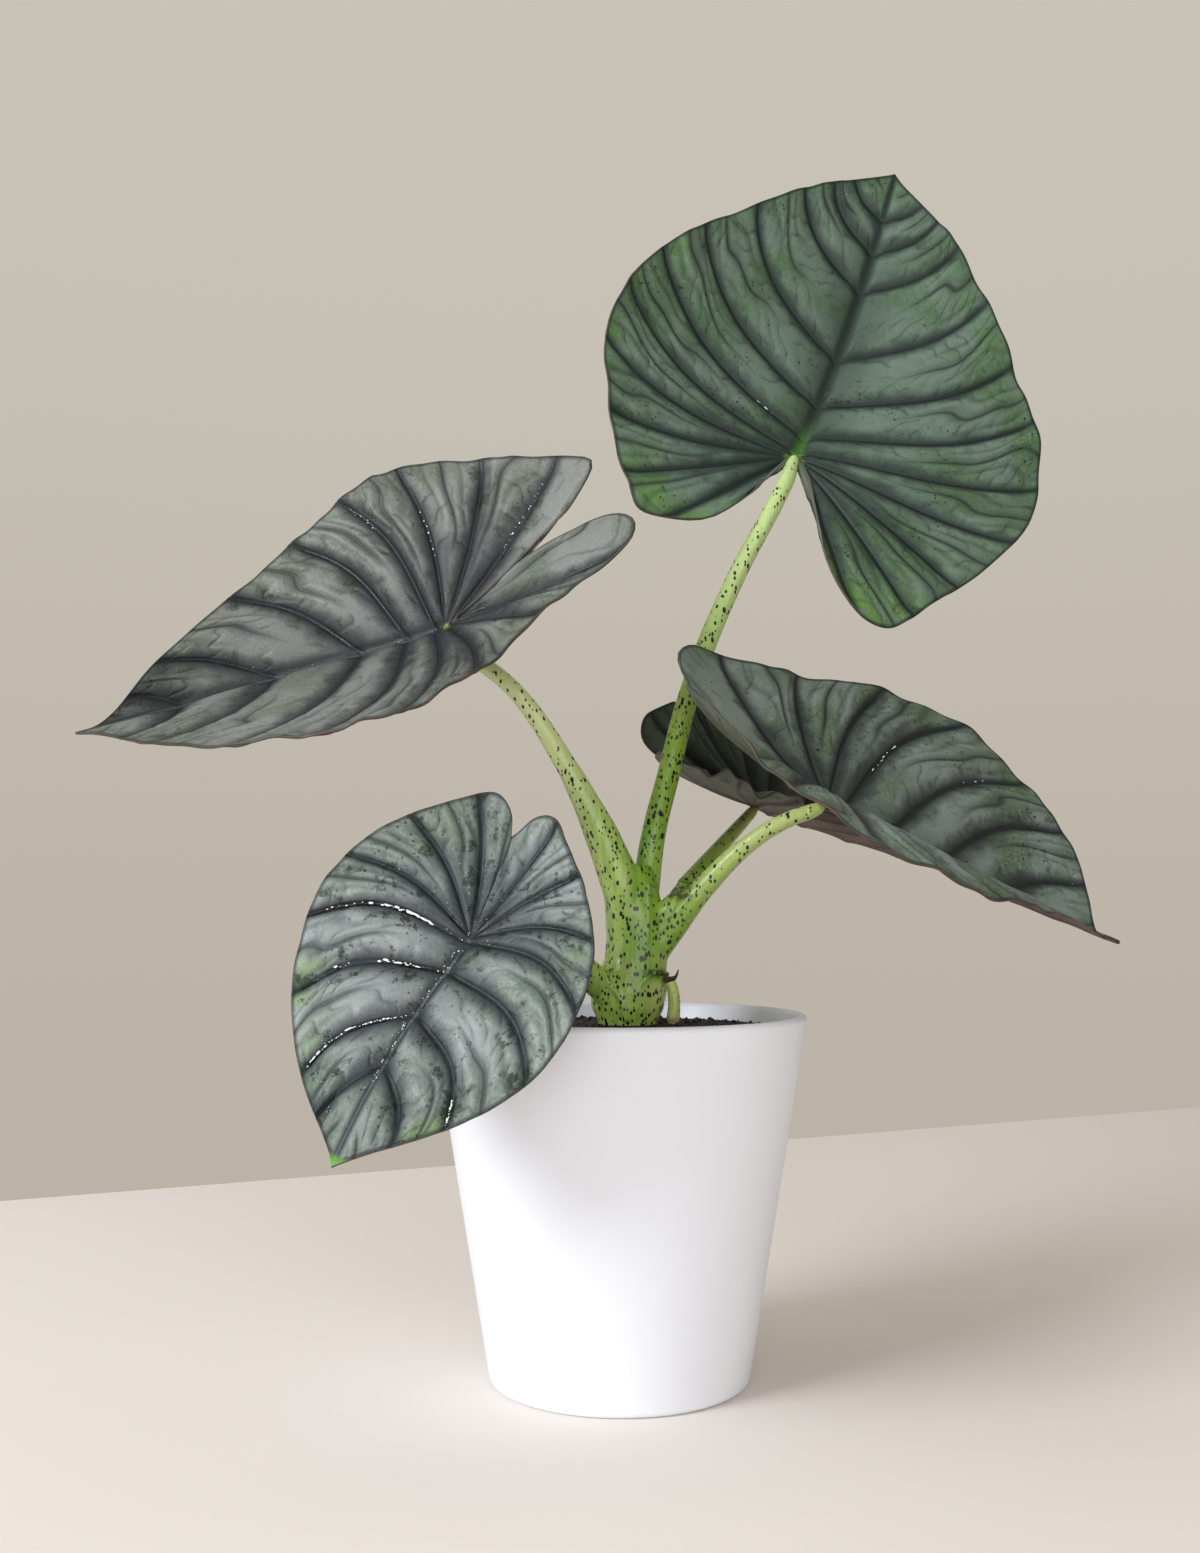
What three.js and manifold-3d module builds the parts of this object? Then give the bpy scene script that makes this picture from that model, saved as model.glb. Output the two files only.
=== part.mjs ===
// A young elephant-ear plant (alocasia) in a tapered white planter: five leaves on fleshy stalks
// that rise from one swollen stem base.
// Millimetres, +Z up, origin at the middle of the planter's foot, front of the plant towards -Y.
import * as THREE from 'three';
import { mergeVertices } from 'three/addons/utils/BufferGeometryUtils.js';
import Module from 'manifold-3d';

const wasm = await Module();
wasm.setup();

// Driving dimensions
const POT_HEIGHT = 123;
const RIM_RADIUS = 65;
const FOOT_RADIUS = 44;
const WALL = 3.6;
const FLOOR = 7;
const FOOT_ROUND = 2.5;
const CORNER_ROUND = 5;
const SOIL_DROP = 6; // from the rim down to the soil at the wall
const MOUND = 2.5; // rise of the soil towards the plant
const GAP = 0.3; // clearance between pieces that rest against each other
const BLADE = 1.1; // thickness of a leaf
const LEAF_SIZE = 1; // scale of every leaf outline
const STALK_SIZE = 1; // scale of every stalk's thickness
const GROUND = POT_HEIGHT - SOIL_DROP;

const ROUND_POT = 56;
const ROUND_STEM = 20;
const ROUND_STALK = 10;

// Where the stem base stands in the soil, and its rings: height above the soil's edge, sideways
// shift of the middle, radius across and radius front to back.
const COLLAR = 3;
const stemRings = [
  [-15, 0, 5, 5],
  [-13, 0, 8.5, 8.5],
  [-7, 0, 11, 11],
  [2.6, 0, 10.2, 10.2],
  [8, 0, 13, 12.4],
  [15, 0, 14.2, 13],
  [19.5, 1.4, 12.4, 11.4],
  [23, 3.2, 10.6, 10],
  [32, 3.2, 10.3, 9.6],
  [40, 2.6, 10.6, 9.4],
  [50, 1, 9.6, 8],
  [57, 0.6, 7.6, 6],
];
const BURIED_RINGS = 4;

// Each leaf. `at` is where the stalk meets the blade, above the soil's edge. `heading`, `pitch` and
// `roll` turn the midrib, in degrees. `droop` bends the midrib before and behind that point,
// `fold` raises the left and right halves, `curl` bends them, all in degrees per 100 mm but for
// the fold itself. `lift` and `open` change the fold behind and before. `heart` is the middle
// that the rings of the blade shrink to. `outline` runs from the tip round to the tip,
// along and across the midrib.
// `stalk` rows are a point above the soil's edge and a radius; `shared` rows belong to the stem.
const leaves = {
  tall: {
    at: [67, 36, 213], heading: 62, pitch: 52, roll: 33,
    droop: [-14, 0], fold: [9, 12], curl: [22, -24], lift: -26, open: 4,
    heart: [20, 0],
    outline: [
      [162, 0], [150, -14], [133, -34], [108, -54], [78, -74], [45, -90], [10, -94], [-21, -81],
      [-43, -67], [-59, -56], [-62, -43], [-52, -29], [-28, -17], [-10, -9], [0.4, -4.5], [0.4, 4.5],
      [-10, 9], [-30, 14], [-47, 24], [-54, 40], [-48, 54], [-24, 73], [0, 85], [28, 89],
      [56, 83], [84, 70], [111, 51], [136, 31], [152, 13],
    ],
    stalk: [
      [5, 1, 20, 7.2], [9, 3, 46, 5], [12.4, 5, 69, 4.3], [17, 8, 87, 4.1], [26, 13, 121, 3.8],
      [41, 21, 159, 3.4],
    ],
    shared: 2, joins: 'edge', tipRadius: 3, colour: 0x7d9a4e,
  },
  left: {
    at: [-60, -12, 140], heading: 173, pitch: -28, roll: -41,
    droop: [-22, -28], fold: [11, 42], curl: [7, -16], lift: -26, open: 4,
    heart: [0, 0],
    outline: [
      [132, 0], [121, -9], [105, -28], [80, -47], [50, -61], [20, -68], [-10, -67], [-34, -59],
      [-55, -44], [-71, -27], [-75, -18], [-65, -11.8], [-50, -8.6], [-37, -6], [-50, -4],
      [-65, 3], [-73, 15], [-74, 25], [-64, 30], [-46, 29], [-28, 37], [-8, 59], [12, 73],
      [36, 76], [60, 70], [84, 56], [106, 33], [121, 11],
    ],
    stalk: [
      [4, -1, 27, 8], [1, -3, 50, 7.6], [-5.8, -4, 67, 6], [-12, -5, 80, 4.6],
      [-18.5, -6, 92, 3.7], [-36.5, -8, 118, 2.9],
    ],
    shared: 2, joins: 'under', tipRadius: 2.7, colour: 0x8fa862,
  },
  front: {
    at: [-45, -72, 34], heading: 227, pitch: -52, roll: -20,
    droop: [-4, -48], fold: [11, 20], curl: [-21, -8], lift: 22, open: -29,
    heart: [0, 0],
    outline: [
      [80, 0], [73, -8], [62, -22], [47, -36], [28, -46], [8, -50], [-12, -47], [-29, -36],
      [-41, -22], [-46, -11], [-43, -5], [-35, -2], [-42, 3], [-44, 11], [-37, 21], [-22, 33],
      [-5, 43], [14, 46], [32, 43], [47, 35], [61, 22], [72, 9],
    ],
    stalk: [[1, -1, 11, 5.4], [-10, -10, 22, 4], [-24, -30, 32, 3]],
    shared: 1, joins: 'under', tipRadius: 2.3, colour: 0x8aa55c,
  },
  right: {
    at: [71, -15, 78], heading: 14, pitch: -26, roll: 30,
    droop: [-4, -30], fold: [33, 32], curl: [-9, -56], lift: -9, open: -4,
    heart: [0, 0],
    outline: [
      [112, 0], [106, 16], [99, 38], [85, 52], [65, 65], [42, 71], [17, 67], [-8, 58],
      [-32, 46], [-55, 33], [-70, 22], [-72, 12], [-58, 4], [-34, 0], [-56, -5], [-69, -14],
      [-66, -27], [-50, -42], [-30, -55], [-8, -62], [15, -63], [40, -57], [62, -44],
      [84, -28], [101, -10],
    ],
    stalk: [
      [9, -1, 24, 7], [17.6, -2, 33.6, 6.2], [29.6, -6, 50, 4.3], [45.5, -10, 66, 3.2],
      [58, -12, 73, 2.9],
    ],
    shared: 2, joins: 'under', tipRadius: 2.6, colour: 0x86a052,
  },
  back: {
    at: [54, 62, 82], heading: 24, pitch: -15, roll: 38,
    droop: [0, -20], fold: [30, 36], curl: [-10, -8], lift: 0, open: 0,
    heart: [0, 0],
    outline: [
      [96, 0], [88, 13], [74, 30], [52, 44], [26, 50], [0, 47], [-24, 40], [-44, 30], [-55, 18],
      [-54, 8], [-42, 3], [-26, 0], [-42, -4], [-54, -10], [-54, -22], [-40, -34], [-20, -43],
      [4, -47], [28, -45], [52, -36], [74, -22], [88, -9],
    ],
    stalk: [[7, 4, 26, 5], [24, 18, 50, 3.4], [38, 36, 65, 2.8]],
    shared: 1, joins: 'under', tipRadius: 2.2, colour: 0x7c9648,
  },
};

const root = new THREE.Group();

function add(name, geometry, colour, roughness) {
  const material = new THREE.MeshStandardMaterial({ color: colour, roughness });
  const mesh = new THREE.Mesh(geometry, material);
  mesh.name = name;
  root.add(mesh);
}

function enclosed(positions, index) {
  let sum = 0;
  const a = new THREE.Vector3();
  const b = new THREE.Vector3();
  const c = new THREE.Vector3();
  for (let i = 0; i < index.length; i += 3) {
    a.fromArray(positions, index[i] * 3);
    b.fromArray(positions, index[i + 1] * 3);
    c.fromArray(positions, index[i + 2] * 3);
    sum += a.dot(b.cross(c));
  }
  return sum / 6;
}

// A closed body over rings of points that all have the same count, each end closed by a fan to
// its own middle point.
function skin(rings, first, last) {
  const count = rings[0].length;
  const positions = [first, ...rings.flat(), last].flatMap((p) => [p.x, p.y, p.z]);
  const end = rings.length * count + 1;
  const index = [];
  for (let i = 0; i < count; i += 1) {
    const j = (i + 1) % count;
    index.push(0, 1 + j, 1 + i);
    for (let k = 0; k + 1 < rings.length; k += 1) {
      const a = 1 + k * count;
      const b = a + count;
      index.push(a + i, a + j, b + i, a + j, b + j, b + i);
    }
    index.push(end - count + i, end - count + j, end);
  }
  if (enclosed(positions, index) < 0) index.reverse();
  const geometry = new THREE.BufferGeometry();
  geometry.setAttribute('position', new THREE.Float32BufferAttribute(positions, 3));
  geometry.setIndex(index);
  geometry.computeVertexNormals();
  return geometry;
}

function toSolid(geometry) {
  const bare = geometry.clone();
  bare.deleteAttribute('normal');
  bare.deleteAttribute('uv');
  const merged = mergeVertices(bare, 1e-4);
  return new wasm.Manifold(new wasm.Mesh({
    numProp: 3,
    vertProperties: new Float32Array(merged.attributes.position.array),
    triVerts: new Uint32Array(merged.index.array),
  }));
}

function fromSolid(solid) {
  const mesh = solid.getMesh();
  const geometry = new THREE.BufferGeometry();
  geometry.setAttribute('position', new THREE.BufferAttribute(mesh.vertProperties, 3));
  geometry.setIndex(new THREE.BufferAttribute(mesh.triVerts, 1));
  geometry.computeVertexNormals();
  return geometry;
}

function lathe(profile, segments) {
  const points = profile.map(([r, z]) => new THREE.Vector2(r, z));
  return new THREE.LatheGeometry(points, segments).rotateX(Math.PI / 2);
}

function arc(r, z, radius, from, to, steps) {
  const points = [];
  for (let i = 0; i <= steps; i += 1) {
    const a = THREE.MathUtils.degToRad(from + ((to - from) * i) / steps);
    points.push([r + radius * Math.cos(a), z + radius * Math.sin(a)]);
  }
  return points;
}

// Planter: a plain cone with a rounded foot and a rounded lip.
const flare = (RIM_RADIUS - FOOT_RADIUS) / POT_HEIGHT;
const lean = THREE.MathUtils.radToDeg(Math.atan(flare));
const outside = (z) => FOOT_RADIUS + flare * z;
const inside = (z) => outside(z) - WALL * Math.hypot(1, flare);
const lip = WALL / 2;
const cornerHeight = FLOOR + CORNER_ROUND;
const cornerMiddle = inside(cornerHeight) - CORNER_ROUND;

function pot() {
  const lipTop = POT_HEIGHT - lip;
  return lathe([
    [0, 0],
    ...arc(outside(FOOT_ROUND) - FOOT_ROUND, FOOT_ROUND, FOOT_ROUND, -90, -lean, 3),
    ...arc(outside(lipTop) - lip, lipTop, lip, -lean, 180 - lean, 6),
    ...arc(cornerMiddle, cornerHeight, CORNER_ROUND, -lean, -90, 3),
    [0, FLOOR],
  ], ROUND_POT);
}

// Rings of the stem base, and the same rings a clearance larger for the hollow in the soil.
function stemRing([height, shift, across, deep], grow) {
  const ring = [];
  for (let i = 0; i < ROUND_STEM; i += 1) {
    const a = (i / ROUND_STEM) * 2 * Math.PI;
    const x = COLLAR + shift + (across + grow) * Math.cos(a);
    ring.push(new THREE.Vector3(x, (deep + grow) * Math.sin(a), GROUND + height - grow));
  }
  return ring;
}

function stemBody(rows, grow) {
  const foot = new THREE.Vector3(COLLAR, 0, GROUND + rows[0][0] - grow - 0.5);
  const top = rows.at(-1);
  const crown = new THREE.Vector3(COLLAR + top[1], 0, GROUND + top[0] + 1.5);
  return skin(rows.map((row) => stemRing(row, grow)), foot, crown);
}

// Soil: fills the planter a clearance inside its wall and rises gently to the stem.
function soil() {
  const edge = inside(GROUND) - GAP;
  const top = [1, 0.75, 0.5, 0.25, 0].map((f) => [edge * f, GROUND + MOUND * (1 - f * f)]);
  const body = toSolid(lathe([
    [0, FLOOR + GAP],
    ...arc(cornerMiddle, cornerHeight, CORNER_ROUND - GAP, -90, -lean, 3),
    ...top,
  ], ROUND_POT));
  const buried = stemRings.slice(0, BURIED_RINGS);
  const hollow = toSolid(stemBody([...buried, [MOUND + 4, 0, 10.6, 10.6]], GAP));
  return fromSolid(body.subtract(hollow));
}

// The midrib's direction, the blade's upper normal and its left-hand side.
function leafFrame(leaf) {
  const heading = THREE.MathUtils.degToRad(leaf.heading);
  const pitch = THREE.MathUtils.degToRad(leaf.pitch);
  const roll = THREE.MathUtils.degToRad(leaf.roll);
  const flat = Math.cos(pitch);
  const along = new THREE.Vector3(
    flat * Math.cos(heading), flat * Math.sin(heading), Math.sin(pitch));
  const left = new THREE.Vector3(-Math.sin(heading), Math.cos(heading), 0);
  const up = along.clone().cross(left);
  const normal = up.multiplyScalar(Math.cos(roll)).addScaledVector(left, -Math.sin(roll));
  const across = normal.clone().cross(along);
  const at = new THREE.Vector3(...leaf.at);
  at.z += GROUND;
  return { along, normal, across, at };
}

// A bend of `rate` degrees per 100 mm that starts at `start` degrees, followed for `length`.
function bend(start, rate, length) {
  const a = THREE.MathUtils.degToRad(start);
  const k = THREE.MathUtils.degToRad(rate || 1e-3) / 100;
  const b = a + k * length;
  return [(Math.sin(b) - Math.sin(a)) / k, (Math.cos(a) - Math.cos(b)) / k];
}

function bladePoint(leaf, frame, s, t) {
  const droop = s > 0 ? leaf.droop[0] : leaf.droop[1];
  const [forward, drop] = bend(0, droop, s);
  const side = t > 0 ? 0 : 1;
  const change = s < 0 ? (-leaf.lift * s) / 100 : (leaf.open * s) / 100;
  const [out, rise] = bend(leaf.fold[side] + change, leaf.curl[side], Math.abs(t));
  const turn = THREE.MathUtils.degToRad((droop * s) / 100);
  return frame.at.clone()
    .addScaledVector(frame.along, forward + rise * Math.sin(turn))
    .addScaledVector(frame.normal, -drop + rise * Math.cos(turn))
    .addScaledVector(frame.across, out * Math.sign(t));
}

function bladeNormal(leaf, frame, s, t) {
  const h = 0.5;
  const ds = bladePoint(leaf, frame, s + h, t).sub(bladePoint(leaf, frame, s - h, t));
  const dt = bladePoint(leaf, frame, s, t + h).sub(bladePoint(leaf, frame, s, t - h));
  return ds.cross(dt).normalize();
}

// Blade: rings of the outline shrunk to the heart, over the top and back along the underside.
const BLADE_RINGS = [0.3, 0.55, 0.8, 1];
const BLADE_POINTS = 46;

function bladePlan(leaf) {
  const corners = [...leaf.outline, leaf.outline[0]]
    .map(([s, t]) => new THREE.Vector3(s * LEAF_SIZE, t * LEAF_SIZE, 0));
  const curve = new THREE.CatmullRomCurve3(corners, false, 'centripetal');
  const points = curve.getPoints((corners.length - 1) * 4);
  const plan = [];
  for (let i = 0; i < BLADE_POINTS; i += 1) {
    plan.push(points[Math.round((i * (points.length - 1)) / BLADE_POINTS)]);
  }
  return plan;
}

function blade(leaf) {
  const frame = leafFrame(leaf);
  const plan = bladePlan(leaf);
  const [hs, ht] = leaf.heart.map((v) => v * LEAF_SIZE);
  const ring = (share, depth) => plan.map((p) => {
    const s = hs + (p.x - hs) * share;
    const t = ht + (p.y - ht) * share;
    return bladePoint(leaf, frame, s, t)
      .addScaledVector(bladeNormal(leaf, frame, s, t), -depth);
  });
  const rings = [
    ...BLADE_RINGS.map((share) => ring(share, 0)),
    ...BLADE_RINGS.toReversed().map((share) => ring(share, BLADE)),
  ];
  const middle = bladePoint(leaf, frame, hs, ht);
  const under = middle.clone().addScaledVector(bladeNormal(leaf, frame, hs, ht), -BLADE);
  return skin(rings, middle, under);
}

// Stalk: a tapering round stem through its rows, ending square against the blade. The first
// rows are part of the stem base, and the stalk starts a clearance further on.
function stalkLine(leaf) {
  const frame = leafFrame(leaf);
  const rows = leaf.stalk.map(([x, y, z, r]) => [new THREE.Vector3(x, y, GROUND + z), r]);
  const last = leaf.tipRadius;
  const away = leaf.joins === 'edge' ? frame.along : frame.normal;
  const clear = leaf.joins === 'edge' ? GAP : BLADE + GAP;
  const end = frame.at.clone().addScaledVector(away, -clear);
  rows.push([end.clone().addScaledVector(away, -11), last * 1.03], [end, last]);
  const curve = new THREE.CatmullRomCurve3(rows.map(([p]) => p), false, 'centripetal');
  const radius = (u) => {
    const f = Math.min(u, 0.999999) * (rows.length - 1);
    const i = Math.floor(f);
    return STALK_SIZE * THREE.MathUtils.lerp(rows[i][1], rows[i + 1][1], f - i);
  };
  const split = leaf.shared / (rows.length - 1);
  const speed = curve.getPoint(split).distanceTo(curve.getPoint(split + 1e-3)) / 1e-3;
  return { curve, radius, split, after: split + GAP / speed };
}

function sweep(line, from, to, steps) {
  const rings = [];
  const tangent = new THREE.Vector3();
  let side = new THREE.Vector3(0, 1, 0);
  for (let k = 0; k <= steps; k += 1) {
    const u = from + ((to - from) * k) / steps;
    line.curve.getTangent(u, tangent);
    side = side.clone().addScaledVector(tangent, -side.dot(tangent)).normalize();
    const other = tangent.clone().cross(side);
    const middle = line.curve.getPoint(u);
    const r = line.radius(u);
    const ring = [];
    for (let i = 0; i < ROUND_STALK; i += 1) {
      const a = (i / ROUND_STALK) * 2 * Math.PI;
      ring.push(middle.clone()
        .addScaledVector(side, r * Math.cos(a))
        .addScaledVector(other, r * Math.sin(a)));
    }
    rings.push(ring);
  }
  return skin(rings, line.curve.getPoint(from), line.curve.getPoint(to));
}

// Stem base: the swollen foot joined with the sheath at the start of every stalk, and the lip
// that stands up where the right stalk's sheath ends.
function sheathLip() {
  const ring = (x, z, across, deep) => [0, 1, 2, 3, 4, 5, 6, 7].map((i) => {
    const a = (i / 8) * 2 * Math.PI;
    const dx = across * Math.cos(a);
    return new THREE.Vector3(x + dx, -5 + deep * Math.sin(a), GROUND + z - dx * 0.3);
  });
  const rings = [ring(18.5, 36, 6, 4), ring(20.5, 42, 4.4, 3), ring(22.2, 46.6, 2.4, 1.6)];
  const low = new THREE.Vector3(18.5, -5, GROUND + 36);
  return skin(rings, low, new THREE.Vector3(22.8, -5, GROUND + 48));
}

function stemBase() {
  let body = toSolid(stemBody(stemRings, 0));
  for (const leaf of Object.values(leaves)) {
    const line = stalkLine(leaf);
    body = body.add(toSolid(sweep(line, 0, line.split, 3 * leaf.shared)));
  }
  return fromSolid(body.add(toSolid(sheathLip())));
}

// An old stalk, cut short, that leans on the stem base, and the dry scrap of sheath above it.
function shortLine(rows) {
  const points = rows.map(([x, y, z]) => new THREE.Vector3(x, y, GROUND + z));
  const curve = new THREE.CatmullRomCurve3(points, false, 'centripetal');
  const radius = (u) => {
    const f = Math.min(u, 0.999999) * (rows.length - 1);
    const i = Math.floor(f);
    return THREE.MathUtils.lerp(rows[i][3], rows[i + 1][3], f - i);
  };
  return { curve, radius };
}
const oldStalk = [[18.2, -5.4, 2.7, 2.2], [18.9, -5.6, 9, 2.1], [18.3, -5.4, 15, 1.9]];
const dryTip = [[18.2, -5.4, 15.6, 1.4], [18.4, -5.6, 18, 0.9], [20, -6, 20.8, 0.5]];

add('pot', pot(), 0xf2f0ef, 0.45);
add('potting_soil', soil(), 0x2a211b, 0.95);
add('stem_base', stemBase(), 0x86a14f, 0.5);
for (const [name, leaf] of Object.entries(leaves)) {
  const line = stalkLine(leaf);
  const steps = 3 * (leaf.stalk.length + 1 - leaf.shared);
  add(`stalk_${name}`, sweep(line, line.after, 1, steps), leaf.colour, 0.5);
  add(`blade_${name}`, blade(leaf), 0x5d6f66, 0.45);
}
add('old_stalk', sweep(shortLine(oldStalk), 0, 1, 4), 0xaab164, 0.5);
add('dry_sheath', sweep(shortLine(dryTip), 0, 1, 3), 0x3d2d20, 0.8);

export default root;
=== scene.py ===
import bpy
import math
import random
import numpy as np
from mathutils import Matrix, Vector


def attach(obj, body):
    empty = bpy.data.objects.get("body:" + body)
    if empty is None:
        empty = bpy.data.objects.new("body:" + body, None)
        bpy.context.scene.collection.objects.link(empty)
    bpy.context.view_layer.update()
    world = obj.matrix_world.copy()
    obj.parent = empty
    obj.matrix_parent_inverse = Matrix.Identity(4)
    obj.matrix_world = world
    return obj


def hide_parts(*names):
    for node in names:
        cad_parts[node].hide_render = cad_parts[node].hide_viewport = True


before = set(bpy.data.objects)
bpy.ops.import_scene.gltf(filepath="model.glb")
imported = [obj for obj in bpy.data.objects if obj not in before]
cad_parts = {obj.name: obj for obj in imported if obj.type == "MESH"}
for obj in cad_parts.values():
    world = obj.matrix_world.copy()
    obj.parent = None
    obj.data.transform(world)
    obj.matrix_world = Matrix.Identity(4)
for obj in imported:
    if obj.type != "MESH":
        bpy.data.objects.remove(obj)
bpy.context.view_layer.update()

mm = 0.001
random.seed(11)

# Camera, floor and light.

viewSettings = dict(place=(0, -0.540, 0.1615), up=4.645, left=0.706, lens=35.716)
floorSettings = dict(backLeft=(-0.328, 0.309), backSlope=0.495, reach=2.6)
lightSettings = dict(
    key=dict(place=(-1.62, -1.22, 1.08), size=1.0, power=40, tint=(0.955, 0.99, 1.05)),
    front=dict(place=(0.3, -1.9, 0.45), size=1.7, power=15, tint=(0.985, 0.99, 1.0)),
    top=dict(place=(-0.2, 0.2, 1.75), size=1.1, power=3, tint=(1.0, 1.0, 1.0)),
)


def deselectAll():
    for thing in bpy.context.selected_objects:
        thing.select_set(False)


def pick(thing):
    deselectAll()
    thing.select_set(True)
    bpy.context.view_layer.objects.active = thing


def makeCamera(settings):
    bpy.ops.object.camera_add(location=settings["place"])
    camera = bpy.context.object
    camera.rotation_euler = (math.radians(90 + settings["up"]), 0, math.radians(settings["left"]))
    camera.data.lens = settings["lens"]
    camera.data.sensor_width = 36
    camera.data.clip_start = 0.01
    bpy.context.scene.camera = camera


def makeLights(settings):
    for name, light in settings.items():
        bpy.ops.object.light_add(type="AREA", location=light["place"])
        lamp = bpy.context.object
        lamp.name = name + "Light"
        lamp.data.shape = "DISK"
        lamp.data.size = light["size"]
        lamp.data.energy = light["power"]
        lamp.data.color = light["tint"]
        aim = Vector((0.0, 0.0, 0.2)) - Vector(light["place"])
        lamp.rotation_euler = aim.to_track_quat("-Z", "Y").to_euler()


deselectAll()
makeCamera(viewSettings)
makeLights(lightSettings)
bpy.context.scene.view_settings.view_transform = "Standard"
print("camera and lights made")

# Small helpers for materials.


def newMaterial(name):
    material = bpy.data.materials.new(name)
    material.use_nodes = True
    tree = material.node_tree
    tree.nodes.clear()
    output = tree.nodes.new("ShaderNodeOutputMaterial")
    shader = tree.nodes.new("ShaderNodeBsdfPrincipled")
    tree.links.new(shader.outputs[0], output.inputs[0])
    return material, tree, shader


def put(tree, socket, value):
    if isinstance(value, bpy.types.NodeSocket):
        tree.links.new(value, socket)
    elif isinstance(value, tuple) and len(value) == 3 and len(socket.default_value) == 4:
        socket.default_value = (*value, 1)
    else:
        socket.default_value = value


def calc(tree, operation, a, b=0.0, c=0.0, clamp=False):
    made = tree.nodes.new("ShaderNodeMath")
    made.operation = operation
    made.use_clamp = clamp
    for socket, value in zip(made.inputs, (a, b, c)):
        put(tree, socket, value)
    return made.outputs[0]


def times(tree, a, b):
    return calc(tree, "MULTIPLY", a, b)


def plus(tree, a, b, clamp=False):
    return calc(tree, "ADD", a, b, clamp=clamp)


def fade(tree, value, low, high, start=0.0, end=1.0):
    made = tree.nodes.new("ShaderNodeMapRange")
    made.interpolation_type = "SMOOTHSTEP"
    for key, item in zip(("Value", "From Min", "From Max", "To Min", "To Max"),
                         (value, low, high, start, end)):
        put(tree, made.inputs[key], item)
    return made.outputs[0]


def blend(tree, factor, first, second, kind="MIX"):
    made = tree.nodes.new("ShaderNodeMix")
    made.data_type = "RGBA"
    made.blend_type = kind
    put(tree, made.inputs[0], factor)
    put(tree, made.inputs[6], first)
    put(tree, made.inputs[7], second)
    return made.outputs[2]


def attribute(tree, name):
    made = tree.nodes.new("ShaderNodeAttribute")
    made.attribute_name = name
    return made.outputs["Fac"]


def objectPlace(tree):
    return tree.nodes.new("ShaderNodeTexCoord").outputs["Object"]


def vectorOf(tree, x, y, z=0.0):
    made = tree.nodes.new("ShaderNodeCombineXYZ")
    for socket, value in zip(made.inputs, (x, y, z)):
        put(tree, socket, value)
    return made.outputs[0]


def partsOf(tree, vector):
    made = tree.nodes.new("ShaderNodeSeparateXYZ")
    put(tree, made.inputs[0], vector)
    return made.outputs


def stretch(tree, vector, scale):
    made = tree.nodes.new("ShaderNodeMapping")
    put(tree, made.inputs["Vector"], vector)
    made.inputs["Scale"].default_value = scale
    return made.outputs[0]


def noise(tree, vector, scale, detail=3.0, rough=0.55, warp=0.0):
    made = tree.nodes.new("ShaderNodeTexNoise")
    put(tree, made.inputs["Vector"], vector)
    made.inputs["Scale"].default_value = scale
    made.inputs["Detail"].default_value = detail
    made.inputs["Roughness"].default_value = rough
    made.inputs["Distortion"].default_value = warp
    return made.outputs["Fac"]


def cells(tree, vector, scale, feature="F1", spread=1.0):
    made = tree.nodes.new("ShaderNodeTexVoronoi")
    made.feature = feature
    put(tree, made.inputs["Vector"], vector)
    made.inputs["Scale"].default_value = scale
    made.inputs["Randomness"].default_value = spread
    return made


def bump(tree, shader, height, strength, distance):
    made = tree.nodes.new("ShaderNodeBump")
    put(tree, made.inputs["Height"], height)
    made.inputs["Strength"].default_value = strength
    made.inputs["Distance"].default_value = distance
    tree.links.new(made.outputs[0], shader.inputs["Normal"])


def specks(tree, vector, scale, share, small, large):
    spots = cells(tree, vector, scale)
    chance = partsOf(tree, spots.outputs["Color"])
    size = fade(tree, chance[1], 0.0, 1.0, small, large)
    inside = calc(tree, "LESS_THAN", chance[0], share)
    disc = calc(tree, "SUBTRACT", 1.0,
                fade(tree, calc(tree, "DIVIDE", spots.outputs["Distance"], size), 0.75, 1.05))
    return times(tree, disc, inside)


# Floor and backdrop.


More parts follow.
